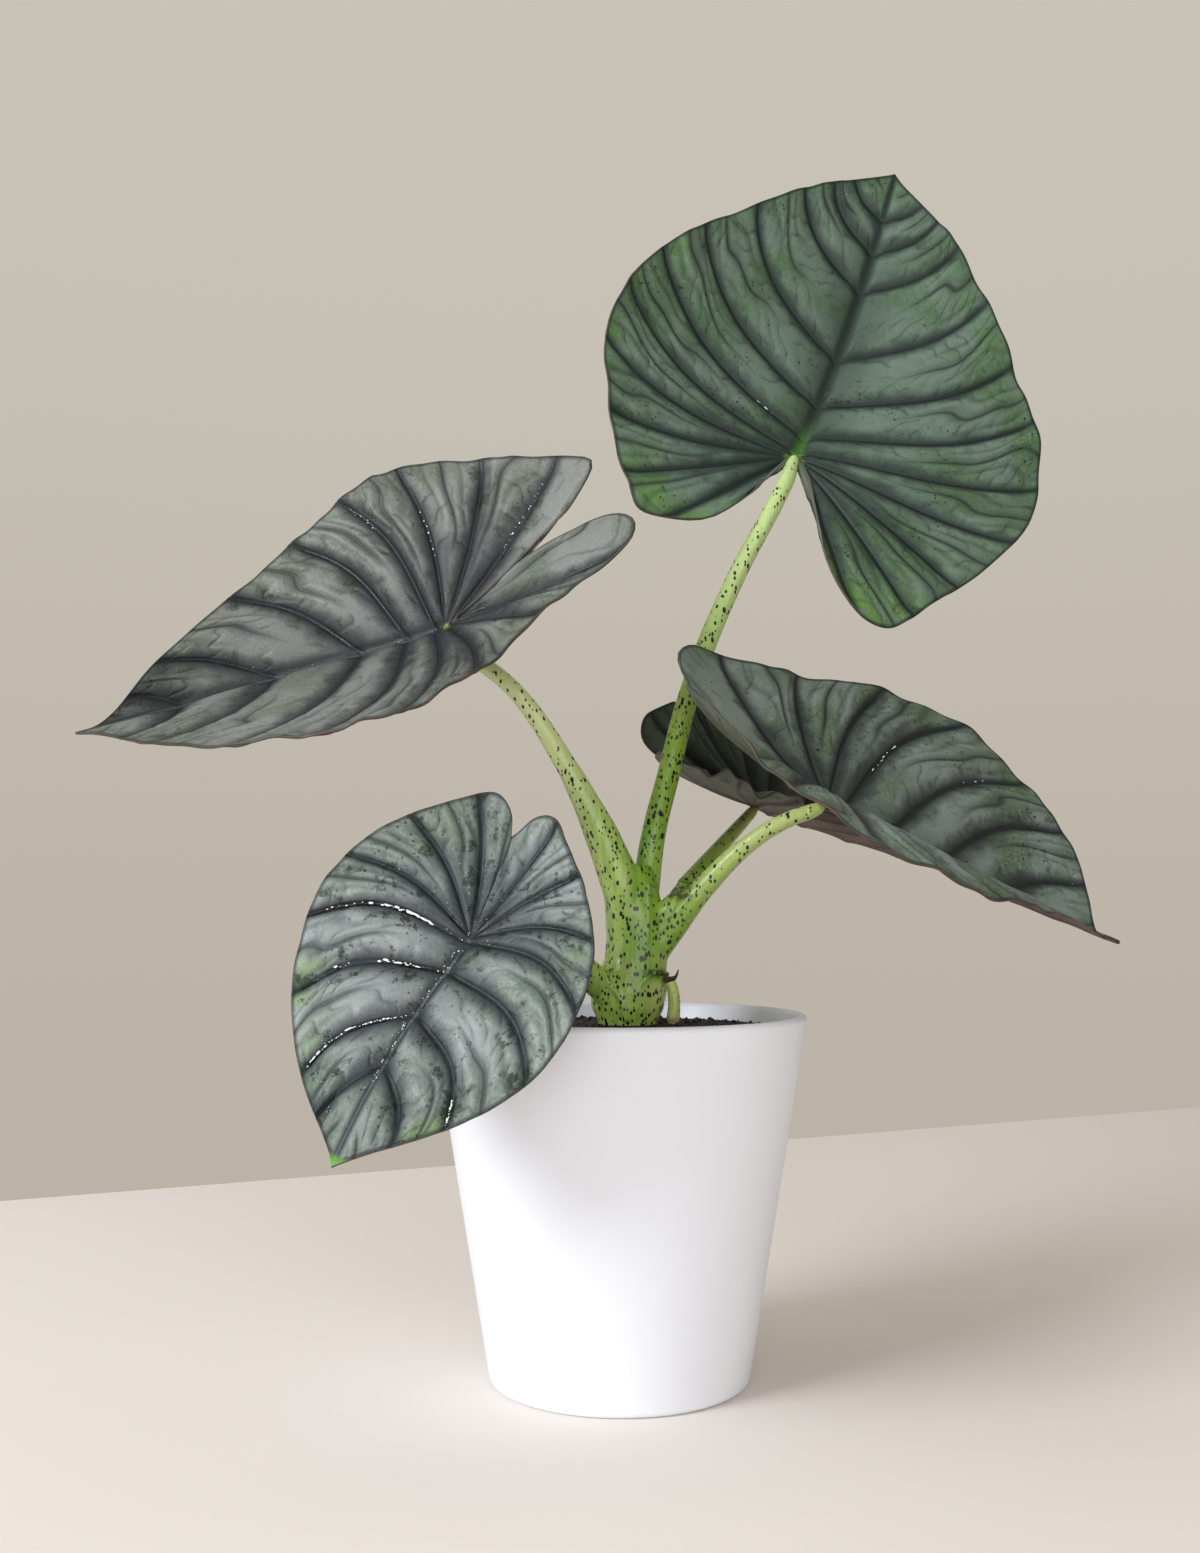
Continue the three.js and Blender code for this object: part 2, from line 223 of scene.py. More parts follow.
def makeStage(settings):
    left, back = settings["backLeft"]
    reach = settings["reach"]
    bpy.ops.mesh.primitive_plane_add(size=2)
    ground = bpy.context.object
    ground.name = "studioFloor"
    corners = {(-1, -1): (-reach, -reach), (1, -1): (reach, -reach),
               (-1, 1): (-reach, back - (reach + left) * settings["backSlope"]),
               (1, 1): (reach, back + (reach - left) * settings["backSlope"])}
    for vertex in ground.data.vertices:
        x, y = corners[(round(vertex.co.x), round(vertex.co.y))]
        vertex.co = (x, y, 0)
    material, tree, shader = newMaterial("paleFloor")
    mottle = noise(tree, objectPlace(tree), 3.0, 4)
    put(tree, shader.inputs["Base Color"], blend(tree, mottle, (0.865, 0.805, 0.745), (0.90, 0.85, 0.795)))
    shader.inputs["Roughness"].default_value = 0.85
    bump(tree, shader, noise(tree, objectPlace(tree), 900.0, 2), 0.08, 0.0002)
    ground.data.materials.append(material)
    world = bpy.data.worlds.new("studioAir")
    bpy.context.scene.world = world
    world.use_nodes = True
    air = world.node_tree
    air.nodes.clear()
    output = air.nodes.new("ShaderNodeOutputWorld")
    lighting = air.nodes.new("ShaderNodeBackground")
    lighting.inputs[0].default_value = (1.0, 0.93, 0.835, 1)
    lighting.inputs[1].default_value = 0.40
    seen = air.nodes.new("ShaderNodeBackground")
    height = partsOf(air, air.nodes.new("ShaderNodeTexCoord").outputs["Generated"])
    rise = fade(air, height[2], -0.15, 0.5)
    put(air, seen.inputs[0], blend(air, rise, (0.500, 0.452, 0.386), (0.582, 0.545, 0.470)))
    choose = air.nodes.new("ShaderNodeMixShader")
    air.links.new(air.nodes.new("ShaderNodeLightPath").outputs["Is Camera Ray"], choose.inputs[0])
    air.links.new(lighting.outputs[0], choose.inputs[1])
    air.links.new(seen.outputs[0], choose.inputs[2])
    air.links.new(choose.outputs[0], output.inputs[0])


makeStage(floorSettings)
print("floor and backdrop made")

# Shared modelling helpers.


def smoothLine(points, count):
    # An even walk along a centripetal Catmull-Rom curve.
    line = np.array(points, float)
    line = np.vstack([2 * line[0] - line[1], line, 2 * line[-1] - line[-2]])
    parts = []
    for a, b, c, d in zip(line[:-3], line[1:-2], line[2:-1], line[3:]):
        t1 = np.linalg.norm((b - a)[:3]) ** 0.5 + 1e-9
        t2 = t1 + np.linalg.norm((c - b)[:3]) ** 0.5 + 1e-9
        t3 = t2 + np.linalg.norm((d - c)[:3]) ** 0.5 + 1e-9
        t = np.linspace(t1, t2, 24, endpoint=False)[:, None]
        p = (t1 - t) / t1 * a + t / t1 * b
        q = (t2 - t) / (t2 - t1) * b + (t - t1) / (t2 - t1) * c
        r = (t3 - t) / (t3 - t2) * c + (t - t2) / (t3 - t2) * d
        u = (t2 - t) / t2 * p + t / t2 * q
        v = (t3 - t) / (t3 - t1) * q + (t - t1) / (t3 - t1) * r
        parts.append((t2 - t) / (t2 - t1) * u + (t - t1) / (t2 - t1) * v)
    dense = np.vstack(parts + [line[-2:-1]])
    far = np.concatenate([[0], np.cumsum(np.linalg.norm(np.diff(dense[:, :3], axis=0), axis=1))])
    even = np.linspace(0, far[-1], count)
    return np.stack([np.interp(even, far, dense[:, i]) for i in range(dense.shape[1])], 1)


def useModifier(thing, kind, **settings):
    pick(thing)
    modifier = thing.modifiers.new(kind.lower(), kind)
    for key, value in settings.items():
        setattr(modifier, key, value)
    bpy.ops.object.modifier_apply(modifier=modifier.name)


def smoothShade(thing, angle=None):
    pick(thing)
    bpy.ops.object.shade_smooth()
    if angle:
        bpy.ops.object.shade_smooth_by_angle(angle=math.radians(angle))


def finishPiece(thing, name, nodes, materials):
    thing.name = name
    for material in materials:
        if material.name not in thing.data.materials:
            thing.data.materials.append(material)
    pick(thing)
    bpy.ops.object.transform_apply(location=True, rotation=True, scale=True)
    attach(thing, "root")
    if nodes:
        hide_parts(*nodes)


def joined(things):
    deselectAll()
    for thing in things:
        thing.select_set(True)
    bpy.context.view_layer.objects.active = things[0]
    bpy.ops.object.join()
    return bpy.context.object


def turned(profile, sides, centre=(0, 0)):
    # A body of rings: a circle, extruded and scaled from one ring to the next, closed at both ends.
    r, z = profile[0]
    bpy.ops.mesh.primitive_circle_add(vertices=sides, radius=r * mm, fill_type="TRIFAN",
                                      location=(centre[0] * mm, centre[1] * mm, z * mm))
    thing = bpy.context.object
    bpy.ops.object.mode_set(mode="EDIT")
    bpy.ops.mesh.select_all(action="SELECT")
    for (r0, z0), (r1, z1) in zip(profile, profile[1:]):
        bpy.ops.mesh.extrude_region_move(TRANSFORM_OT_translate={"value": (0, 0, (z1 - z0) * mm)})
        share = r1 / r0
        bpy.ops.transform.resize(value=(share, share, 1),
                                 center_override=(centre[0] * mm, centre[1] * mm, z1 * mm))
    bpy.ops.mesh.select_all(action="SELECT")
    bpy.ops.mesh.normals_make_consistent(inside=False)
    bpy.ops.object.mode_set(mode="OBJECT")
    return thing


def tube(rows, sides=9, steps=8, extraRadius=1.0):
    # A round stalk along rows of x, y, z and radius, in mm.
    bpy.ops.curve.primitive_bezier_curve_add(location=(0, 0, 0))
    thing = bpy.context.object
    curve = thing.data
    spline = curve.splines[0]
    spline.bezier_points.add(len(rows) - 2)
    for point, (x, y, z, r) in zip(spline.bezier_points, rows):
        point.co = (x * mm, y * mm, z * mm)
        point.radius = r * extraRadius
        point.handle_left_type = "AUTO"
        point.handle_right_type = "AUTO"
    curve.dimensions = "3D"
    curve.resolution_u = steps
    curve.bevel_depth = mm
    curve.bevel_resolution = sides
    curve.use_fill_caps = True
    pick(thing)
    bpy.ops.object.convert(target="MESH")
    thing = bpy.context.object
    bpy.ops.object.mode_set(mode="EDIT")
    bpy.ops.mesh.select_all(action="SELECT")
    bpy.ops.mesh.remove_doubles(threshold=1e-6)
    bpy.ops.mesh.normals_make_consistent(inside=False)
    bpy.ops.object.mode_set(mode="OBJECT")
    return thing


# Planter.

planter = dict(height=123, rim=65, foot=44, wall=3.6, floor=7, footRound=2.5, cornerRound=5, sides=192)
flare = (planter["rim"] - planter["foot"]) / planter["height"]
lean = math.atan(flare)


def wallOutside(z):
    return planter["foot"] + flare * z


def wallInside(z):
    return wallOutside(z) - planter["wall"] * math.hypot(1, flare)


def arc(r, z, radius, start, end, steps):
    turn = [start + (end - start) * i / steps for i in range(steps + 1)]
    return [(r + radius * math.cos(a), z + radius * math.sin(a)) for a in turn]


def makePlanter(p):
    lip = p["wall"] / 2
    top = p["height"] - lip
    corner = p["floor"] + p["cornerRound"]
    middle = wallInside(corner) - p["cornerRound"]
    quarter = math.pi / 2
    foot = arc(wallOutside(p["footRound"]) - p["footRound"], p["footRound"], p["footRound"], -quarter, -lean,
               8)
    rim = arc(wallOutside(top) - lip, top, lip, -lean, math.pi - lean, 14)
    sides = [(wallOutside(z), z) for z in (20, 45, 70, 95)]
    well = [(wallInside(z), z) for z in (95, 70, 45, 20)]
    inner = arc(middle, corner, p["cornerRound"], -lean, -quarter, 8)
    profile = [(30, 0)] + foot + sides + rim + well + inner + [(20, p["floor"])]
    thing = turned(profile, p["sides"])
    pick(thing)
    bpy.ops.object.mode_set(mode="EDIT")
    bpy.ops.mesh.select_all(action="DESELECT")
    bpy.ops.mesh.select_mode(type="EDGE")
    bpy.ops.mesh.select_non_manifold()
    bpy.ops.mesh.edge_face_add()
    bpy.ops.mesh.select_all(action="SELECT")
    bpy.ops.mesh.normals_make_consistent(inside=False)
    bpy.ops.object.mode_set(mode="OBJECT")
    smoothShade(thing, 40)
    return thing


def glazeMaterial():
    material, tree, shader = newMaterial("whiteGlaze")
    place = objectPlace(tree)
    cloud = noise(tree, place, 9.0, 3)
    fine = noise(tree, place, 260.0, 2)
    put(tree, shader.inputs["Base Color"], blend(tree, cloud, (0.835, 0.860, 0.925), (0.865, 0.890, 0.955)))
    put(tree, shader.inputs["Roughness"], fade(tree, fine, 0.2, 0.8, 0.34, 0.46))
    shader.inputs["Coat Weight"].default_value = 0.25
    shader.inputs["Coat Roughness"].default_value = 0.28
    ripple = plus(tree, fine, times(tree, noise(tree, place, 40.0, 2), 3.0))
    bump(tree, shader, ripple, 0.12, 0.0004)
    return material


finishPiece(makePlanter(planter), "planterBody", ["pot"], [glazeMaterial()])
print("planter made")

# Soil.

soilBed = dict(drop=6, mound=2.5, gap=0.3, rough=1.2, crumbs=700)
groundLevel = planter["height"] - soilBed["drop"]


def soilMaterial():
    material, tree, shader = newMaterial("darkSoil")
    place = objectPlace(tree)
    clump = noise(tree, place, 160.0, 4, 0.7)
    fleck = cells(tree, place, 420.0)
    bright = calc(tree, "GREATER_THAN", partsOf(tree, fleck.outputs["Color"])[0], 0.93)
    earth = blend(tree, fade(tree, clump, 0.35, 0.7), (0.004, 0.003, 0.0025), (0.022, 0.015, 0.011))
    put(tree, shader.inputs["Base Color"], blend(tree, times(tree, bright, 0.5), earth, (0.13, 0.09, 0.06)))
    shader.inputs["Roughness"].default_value = 0.92
    bump(tree, shader, clump, 0.8, 0.0012)
    return material


def makeSoil(p):
    edge = wallInside(groundLevel) - p["gap"]
    corner = planter["floor"] + planter["cornerRound"]
    middle = wallInside(corner) - planter["cornerRound"]
    rounded = arc(middle, corner, planter["cornerRound"] - p["gap"], -math.pi / 2, -lean, 4)
    top = [(edge * (1 - i / 44) + 1, groundLevel + p["mound"] * (1 - (1 - i / 44) ** 2)) for i in range(1,
                                                                                                        44)]
    thing = turned([(20, planter["floor"] + p["gap"])] + rounded + [(edge, groundLevel - 1)] + top, 150)
    pick(thing)
    bpy.ops.object.mode_set(mode="EDIT")
    bpy.ops.mesh.select_all(action="DESELECT")
    bpy.ops.mesh.select_mode(type="EDGE")
    bpy.ops.mesh.select_non_manifold()
    bpy.ops.mesh.edge_face_add()
    bpy.ops.mesh.select_all(action="SELECT")
    bpy.ops.mesh.normals_make_consistent(inside=False)
    bpy.ops.object.mode_set(mode="OBJECT")
    spin = np.random.default_rng(5)
    for vertex in thing.data.vertices:
        reach = math.hypot(vertex.co.x, vertex.co.y) / mm
        if vertex.co.z > (groundLevel - 0.5) * mm and reach < edge - 1.0:
            lump = math.sin(vertex.co.x * 900 + 2) * math.cos(vertex.co.y * 1100)
            lump += 0.6 * math.sin(vertex.co.y * 2300 + vertex.co.x * 1900)
            vertex.co.z += (0.35 * lump + spin.uniform(-0.5, 0.5)) * p["rough"] * 0.6 * mm
    smoothShade(thing, 60)
    return thing


def makeCrumbs(p):
    # Loose crumbs and bits of bark on the soil, each a small rough stone of its own.
    edge = wallInside(groundLevel) - p["gap"]
    dice = random.Random(7)
    made = []
    for i in range(14):
        bpy.ops.mesh.primitive_ico_sphere_add(subdivisions=1, radius=mm)
        seed = bpy.context.object
        for vertex in seed.data.vertices:
            vertex.co *= dice.uniform(0.65, 1.25)
        made.append(seed)
    scattered = []
    for i in range(p["crumbs"]):
        deselectAll()
        seed = made[i % len(made)]
        copy = seed.copy()
        copy.data = seed.data.copy()
        bpy.context.collection.objects.link(copy)
        far = edge * math.sqrt(dice.uniform(0.03, 0.93))
        turn = dice.uniform(0, 2 * math.pi)
        size = dice.choice((0.3, 0.35, 0.45, 0.6, 0.85))
        share = far / edge
        z = groundLevel + p["mound"] * (1 - share * share) + size * 0.2
        copy.location = (far * math.cos(turn) * mm, far * math.sin(turn) * mm, z * mm)
        copy.rotation_euler = [dice.uniform(0, 6.28) for _ in range(3)]
        copy.scale = (size, size * dice.uniform(0.6, 1.6), size * dice.uniform(0.5, 0.9))
        scattered.append(copy)
    for seed in made:
        bpy.data.objects.remove(seed)
    return joined(scattered)


soilLook = soilMaterial()
finishPiece(makeSoil(soilBed), "soilBody", ["potting_soil"], [soilLook])
finishPiece(makeCrumbs(soilBed), "soilCrumbs", [], [soilLook])
print("soil made")

# Leaf blades.
# Each blade lies along a bent, folded midrib. Its two margins run from the tip to the notch,
# along and across the midrib, in mm from where the stalk joins. The side veins are counted from
# the tip: `starts` is where each leaves the midrib, as a share of its length, and the rest leave
# from the stalk's end. `ends` is where each meets the margin, as a share of the way to the notch.

bladeShared = dict(across=100, rows=230, thick=0.75, groove=3.5, between=1.5, branch=0.45, crease=1.1)

blades = {
    "tall": dict(
        at=(67, 36, 330), heading=62, pitch=52, roll=33, droop=(-14, 0), fold=(9, 12), curl=(22, -24),
        lift=-26, open=4, sway=-3, bow=0.12, branches=10, wave=1.5, waves=6.5,
        starts=[0.85, 0.74, 0.61, 0.37, 0.20, 0.08, 0.02],
        ends=[0.06, 0.09, 0.135, 0.22, 0.31, 0.39, 0.48, 0.57, 0.65, 0.72, 0.80],
        right=[(162, 0), (157, -5), (149, -15), (133, -34), (108, -53), (80, -71), (45, -89), (10, -93.5),
               (-21, -81), (-43, -66), (-53, -60), (-60, -54), (-62, -43), (-52, -28), (-28, -15), (-9, -7.5),
               (0, -2)],
        left=[(162, 0), (158, 5), (151, 14), (136, 32), (111, 51), (84, 69), (56, 82), (28, 88), (3, 86),
              (-12, 78), (-26, 70), (-44, 55), (-54, 47), (-53, 36), (-47, 23), (-29, 12), (-9, 5), (0, 2)],
    ),
    "left": dict(
        at=(-60, -12, 257), heading=173, pitch=-28, roll=-41, droop=(-22, -28), fold=(9, 43), curl=(7, -16),
        lift=-26, open=4, sway=-17, bow=0.13, branches=13, wave=0.7, waves=7.5,
        starts=[0.73, 0.48, 0.24, 0.11, 0.03], ends=[0.08, 0.14, 0.27, 0.38, 0.47, 0.57, 0.69, 0.80],
        right=[(133, 0), (127, -3), (121, -8.5), (105, -28), (80, -47), (50, -61), (20, -68), (-10, -67),
               (-34, -59), (-55, -44), (-71, -27), (-75.5, -18), (-65, -11.8), (-50, -8.6), (-37, -6)],
        left=[(133, 0), (127, 4), (121, 11), (108, 30), (86, 55), (60, 70), (36, 76), (14, 74), (-6, 61),
              (-20, 45), (-32, 35), (-46, 29), (-60, 30), (-71, 27.5), (-74.5, 21), (-71, 11), (-60, 1),
              (-48, -4), (-37, -6)],
    ),
    "front": dict(
        at=(-45, -72, 151), heading=227, pitch=-52, roll=-20, droop=(-4, -48), fold=(11, 20), curl=(-21, -8),
        lift=22, open=-29, sway=-4, bow=0.17, branches=9, wave=0.5, waves=6,
        starts=[0.58, 0.36, 0.16, 0.02], ends=[0.10, 0.19, 0.34, 0.48, 0.61, 0.75, 0.88],
        right=[(80.5, 0), (77.5, -2.6), (73, -8), (62, -22), (47, -36), (29, -46), (9, -50.5), (-12, -47),
               (-29, -36), (-41, -22), (-47, -11), (-43, -5), (-35, -2)],
        left=[(80.5, 0), (77, 3.4), (72, 8.5), (61, 21), (46, 35), (31, 43), (14, 46), (-5, 43), (-22, 33),
              (-36, 21), (-43.5, 12), (-42, 4), (-35, -2)],
    ),
    "right": dict(
        at=(71, -15, 195), heading=14, pitch=-26, roll=30, droop=(-4, -30), fold=(33, 32), curl=(-9, -56),
        lift=-9, open=-4, sway=0, bow=0.13, branches=10, wave=1.1, waves=6,
        starts=[0.58, 0.38, 0.20, 0.05], ends=[0.10, 0.18, 0.26, 0.37, 0.50, 0.64, 0.77],
        right=[(117, -4), (113, -3.4), (108, -4.6), (100, -11), (84, -28), (62, -44), (40, -57), (15, -63),
               (-8, -62),
               (-30, -55), (-50, -42), (-66, -27), (-69, -14), (-56, -5), (-34, 0)],
        left=[(117, -4), (113, -2.2), (109, 2.5), (106, 16), (99, 37), (85, 52), (65, 65), (42, 71), (17, 66),
              (-8, 57),
              (-32, 46), (-55, 33), (-70, 22), (-72, 12), (-58, 4), (-34, 0)],
    ),
    "back": dict(
        at=(54, 62, 199), heading=24, pitch=-15, roll=38, droop=(0, -20), fold=(30, 36), curl=(-10, -8),
        lift=0, open=0, sway=0, bow=0.12, branches=9, wave=2.2, waves=8,
        starts=[0.70, 0.44, 0.22, 0.06], ends=[0.08, 0.18, 0.30, 0.43, 0.55, 0.67, 0.80],
        right=[(96, 0), (93, -3), (88, -9), (74, -22), (52, -36), (28, -45), (4, -47), (-20, -43),
               (-40, -34), (-54, -22), (-54, -10), (-42, -4), (-26, 0)],
        left=[(96, 0), (93, 4), (88, 13), (74, 30), (52, 44), (26, 50), (0, 47), (-24, 40), (-44, 30),
              (-55, 18), (-54, 8), (-42, 3), (-26, 0)],
    ),
}


def bent(start, rate, length):
    rate = np.where(np.abs(rate) < 1e-3, 1e-3, rate)
    a = np.radians(start)
    k = np.radians(rate) / 100
    return (np.sin(a + k * length) - np.sin(a)) / k, (np.cos(a) - np.cos(a + k * length)) / k


def leafAxes(leaf):
    heading, pitch, roll = (math.radians(leaf[key]) for key in ("heading", "pitch", "roll"))
    along = np.array([math.cos(pitch) * math.cos(heading), math.cos(pitch) * math.sin(heading),
                      math.sin(pitch)])
    left = np.array([-math.sin(heading), math.cos(heading), 0])
    normal = np.cross(along, left) * math.cos(roll) - left * math.sin(roll)
    return along, normal, np.cross(normal, along)


def midribLine(leaf, s):
    # How far the midrib strays from a straight line.
    return leaf["sway"] * np.sin(np.pi * np.clip(s / leaf["right"][0][0], 0, 1))


def leafSurface(leaf, s, t, height=0):
    along, normal, across = leafAxes(leaf)
    droop = np.where(s > 0, leaf["droop"][0], leaf["droop"][1]).astype(float)
    forward, drop = bent(0.0, droop, s)
    stray = midribLine(leaf, s)
    t = t - stray
    left = t > 0
    change = np.where(s < 0, -leaf["lift"] * s / 100, leaf["open"] * s / 100)
    fold = np.where(left, leaf["fold"][0], leaf["fold"][1]) + change
    curl = np.where(left, leaf["curl"][0], leaf["curl"][1]).astype(float)
    soft = bladeShared["crease"]
    out = bent(fold, curl, np.abs(t))[0]
    rise = bent(fold, curl, np.sqrt(t * t + soft * soft) - soft)[1]
    turn = np.radians(droop * s / 100)
    rise = rise + height
    return (np.array(leaf["at"]) + (forward + rise * np.sin(turn))[:, None] * along
            + (rise * np.cos(turn) - drop)[:, None] * normal + (out * np.sign(t) + stray)[:, None] * across)


def lastVein(leaf):
    return len(leaf["ends"]) + 0.62


def veinPlan(leaf, k, x):
    # Where a point of the grid lies along and across the midrib: k counts side veins from the
    # tip, x runs from one margin through the midrib to the other.
    last = lastVein(leaf)
    starts = leaf["starts"] + [0] * (len(leaf["ends"]) - len(leaf["starts"]))
    rows = [(0, 1, 0)] + [(i + 1, a, b) for i,
                          (a, b) in enumerate(zip(starts, leaf["ends"]))] + [(last, 0, 1)]
    count, start, share = smoothLine(rows, 600).T
    start = np.clip(start, 0, 1)
    plan = np.zeros((len(k), 2))
    for sign, side in ((1, "left"), (-1, "right")):
        margin = smoothLine([(*p, 0) for p in leaf[side]], 900)[:, :2]
        use = (x > 0) if sign > 0 else (x <= 0)
        kk, v = k[use], np.abs(x[use])
        reached = np.interp(kk, count, share)
        end = np.stack([np.interp(reached, np.linspace(0, 1, len(margin)), margin[:, i]) for i in (0, 1)], 1)
        root = np.interp(kk, count, start)[:, None] * margin[:1]
        root[:, 1] += midribLine(leaf, root[:, 0])
        line = end - root
        sideways = np.stack([-line[:, 1], line[:, 0]], 1) * sign
        swing = leaf["bow"] * (1 - 0.4 * kk / last) * np.clip(2.2 - 2.2 * kk / last, 0, 1)
        bow = swing * np.clip(kk / 1.5, 0, 1) * np.sin(np.pi * v ** 1.2)
        plan[use] = root + line * v[:, None] + sideways * bow[:, None]
    return plan


def veinNet(leaf, k, x, span, run):
    # The smaller veins: one that wavers between each two side veins, and the branches off it.
    side = np.sign(x)
    waver = 0.10 * np.sin(run * 0.075 + 2.9 * k + 1.7 * side) + 0.05 * np.sin(run * 0.19 + 5.1 * k + side)
    second = k - 0.5 - waver
    panel = np.floor(k)
    upper = k - panel - 0.5 > waver
    number = 2 * panel + upper
    start = (number * 0.618 + side * 0.3) % 1
    aside = np.where(upper, panel + 1 - k, k - panel) * span
    bend = 0.30 * np.sin(run * 0.11 + number * 1.7) + 0.12 * np.sin(run * 0.31 + aside * 0.5 + number)
    branch = (run - 0.8 * aside - 0.03 * aside * aside) / leaf["branches"] + start + bend
    return second, branch


def leafRelief(leaf, k, x, span, plan, second, branch, rim):
    v = np.abs(x)
    off = np.abs(k - np.round(k)) * span * np.where(k < 0.5, 0, 1) + np.where(k < 0.5, 0.5 * span, 0)
    depth = np.minimum(bladeShared["groove"], 0.15 * span)
    height = depth * (np.sin(np.pi / 2 * np.clip(off / np.maximum(0.42 * span, 1e-6), 0, 1)) ** 0.75 - 0.7)
    shown = np.clip((v - 0.3) * 2.5, 0, 1)
    beside = np.abs(second - np.round(second)) * span
    height -= np.minimum(bladeShared["between"], 0.07 * span) * np.exp(-(beside / 1.5) ** 2) * shown
    quarter = np.abs(2 * second - 0.5 - np.round(2 * second - 0.5)) * span / 2
    outer = np.clip((v - 0.45) * 3, 0, 1)
    height -= np.minimum(bladeShared["between"], 0.07 * span) * 0.5 * np.exp(-(quarter / 1.3) ** 2) * outer
    crossing = np.abs(branch - np.round(branch)) * leaf["branches"]
    inside = np.clip(np.minimum(beside, off) / 3.5, 0, 1) ** 1.5 * np.clip((v - 0.08) * 8, 0, 1)
    height -= np.minimum(bladeShared["branch"], 0.03 * span) * np.exp(-(crossing / 1.3) ** 2) * inside
    height *= 1 - np.exp(-(rim / 4.0) ** 1.5)
    fromRib = plan[:, 1] - midribLine(leaf, plan[:, 0])
    aside = np.where(plan[:, 0] > 0, np.abs(fromRib), np.hypot(plan[:, 0], plan[:, 1]))
    height *= 0.3 + 0.7 * np.sin(np.pi / 2 * np.clip(aside / 10, 0, 1)) ** 2
    # The midrib lies in its own furrow.
    ahead = np.clip(plan[:, 0] / 12 + 0.5, 0, 1)
    tip = leaf["right"][0][0]
    towardTip = np.clip((tip - plan[:, 0]) / 40, 0.1, 1)
    height -= 1.5 * np.exp(-(fromRib / 3.0) ** 2) * ahead * towardTip
    share = k / lastVein(leaf)
    swell = np.sin(2 * np.pi * leaf["waves"] * share + np.sign(x) * 1.3)
    swell += 0.5 * np.sin(2 * np.pi * leaf["waves"] * 2.3 * share + 0.7)
    early, late = np.clip((k - 1) / 3, 0, 1), np.clip((1 - share) * 6, 0, 1)
    height += leaf["wave"] * np.clip(span / 16, 0.1, 1) * v ** 6 * swell * early * late
    return height


def makeBlade(leaf, materials):
    quick = 1.0
    columns = int(bladeShared["across"] * quick) * 2
    rows = int(bladeShared["rows"] * quick)
    bpy.ops.mesh.primitive_grid_add(x_subdivisions=columns, y_subdivisions=rows, size=2)
    thing = bpy.context.object
    mesh = thing.data
    for material in materials:
        mesh.materials.append(material)
    flat = np.zeros(len(mesh.vertices) * 3)
    mesh.vertices.foreach_get("co", flat)
    flat = flat.reshape(-1, 3)
    x = flat[:, 0]
    last = lastVein(leaf)
    k = (1 + flat[:, 1]) / 2 * last
    plan = veinPlan(leaf, k, x)
    h = 0.02
    up, down = np.clip(k + h, 0, last), np.clip(k - h, 0, last)
    dk = (veinPlan(leaf, up, x) - veinPlan(leaf, down, x)) / (up - down)[:, None]
    shift = np.where(x > 0, 1, -1) * h
    inner = np.where(np.abs(x) > 0.5, x - shift, x + shift)
    dv = (veinPlan(leaf, k, inner) - plan) / h
    length = np.maximum(np.linalg.norm(dv, axis=1), 1e-6)
    span = np.abs(dk[:, 0] * dv[:, 1] - dk[:, 1] * dv[:, 0]) / length
    run = np.abs(x) * length
    rim = (1 - np.abs(x)) * length
    second, branch = veinNet(leaf, k, x, span, run)
    height = leafRelief(leaf, k, x, span, plan, second, branch, rim)
    s, t = plan[:, 0], plan[:, 1]
    place = leafSurface(leaf, s, t)
    step = 0.4
    ds = leafSurface(leaf, s + step, t) - leafSurface(leaf, s - step, t)
    dt = leafSurface(leaf, s, t + step) - leafSurface(leaf, s, t - step)
    normal = np.cross(ds, dt)
    normal /= np.linalg.norm(normal, axis=1)[:, None]
    place = (place + normal * height[:, None]) * mm
    mesh.vertices.foreach_set("co", place.ravel())
    across = np.abs(t - midribLine(leaf, s))
    facts = {"vein": k, "span": span, "run": run, "reach": np.abs(x), "rim": rim, "second": second,
             "branch": branch,
             "mid": np.where(s > 0, across, np.hypot(s, t)), "out": np.hypot(s, t), "ahead": s,
             "side": np.sign(x)}
    for key, values in facts.items():
        mesh.attributes.new(key, "FLOAT", "POINT").data.foreach_set("value", values.astype(np.float32))
    layer = mesh.uv_layers[0] if mesh.uv_layers else mesh.uv_layers.new(name="bladePlan")
    layer.name = "bladePlan"
    corner = np.zeros(len(mesh.loops), np.int32)
    mesh.loops.foreach_get("vertex_index", corner)
    layer.data.foreach_set("uv", (plan[corner] / 200 + 0.5).ravel())
    pick(thing)
    bpy.ops.object.mode_set(mode="EDIT")
    bpy.ops.mesh.select_all(action="SELECT")
    bpy.ops.mesh.remove_doubles(threshold=0.00001)
    bpy.ops.mesh.dissolve_degenerate(threshold=0.000005)
    bpy.ops.object.mode_set(mode="OBJECT")
    useModifier(thing, "SOLIDIFY", thickness=bladeShared["thick"] * mm, offset=-1,
                material_offset=1, material_offset_rim=2, use_quality_normals=True)
    smoothShade(thing)
    return thing


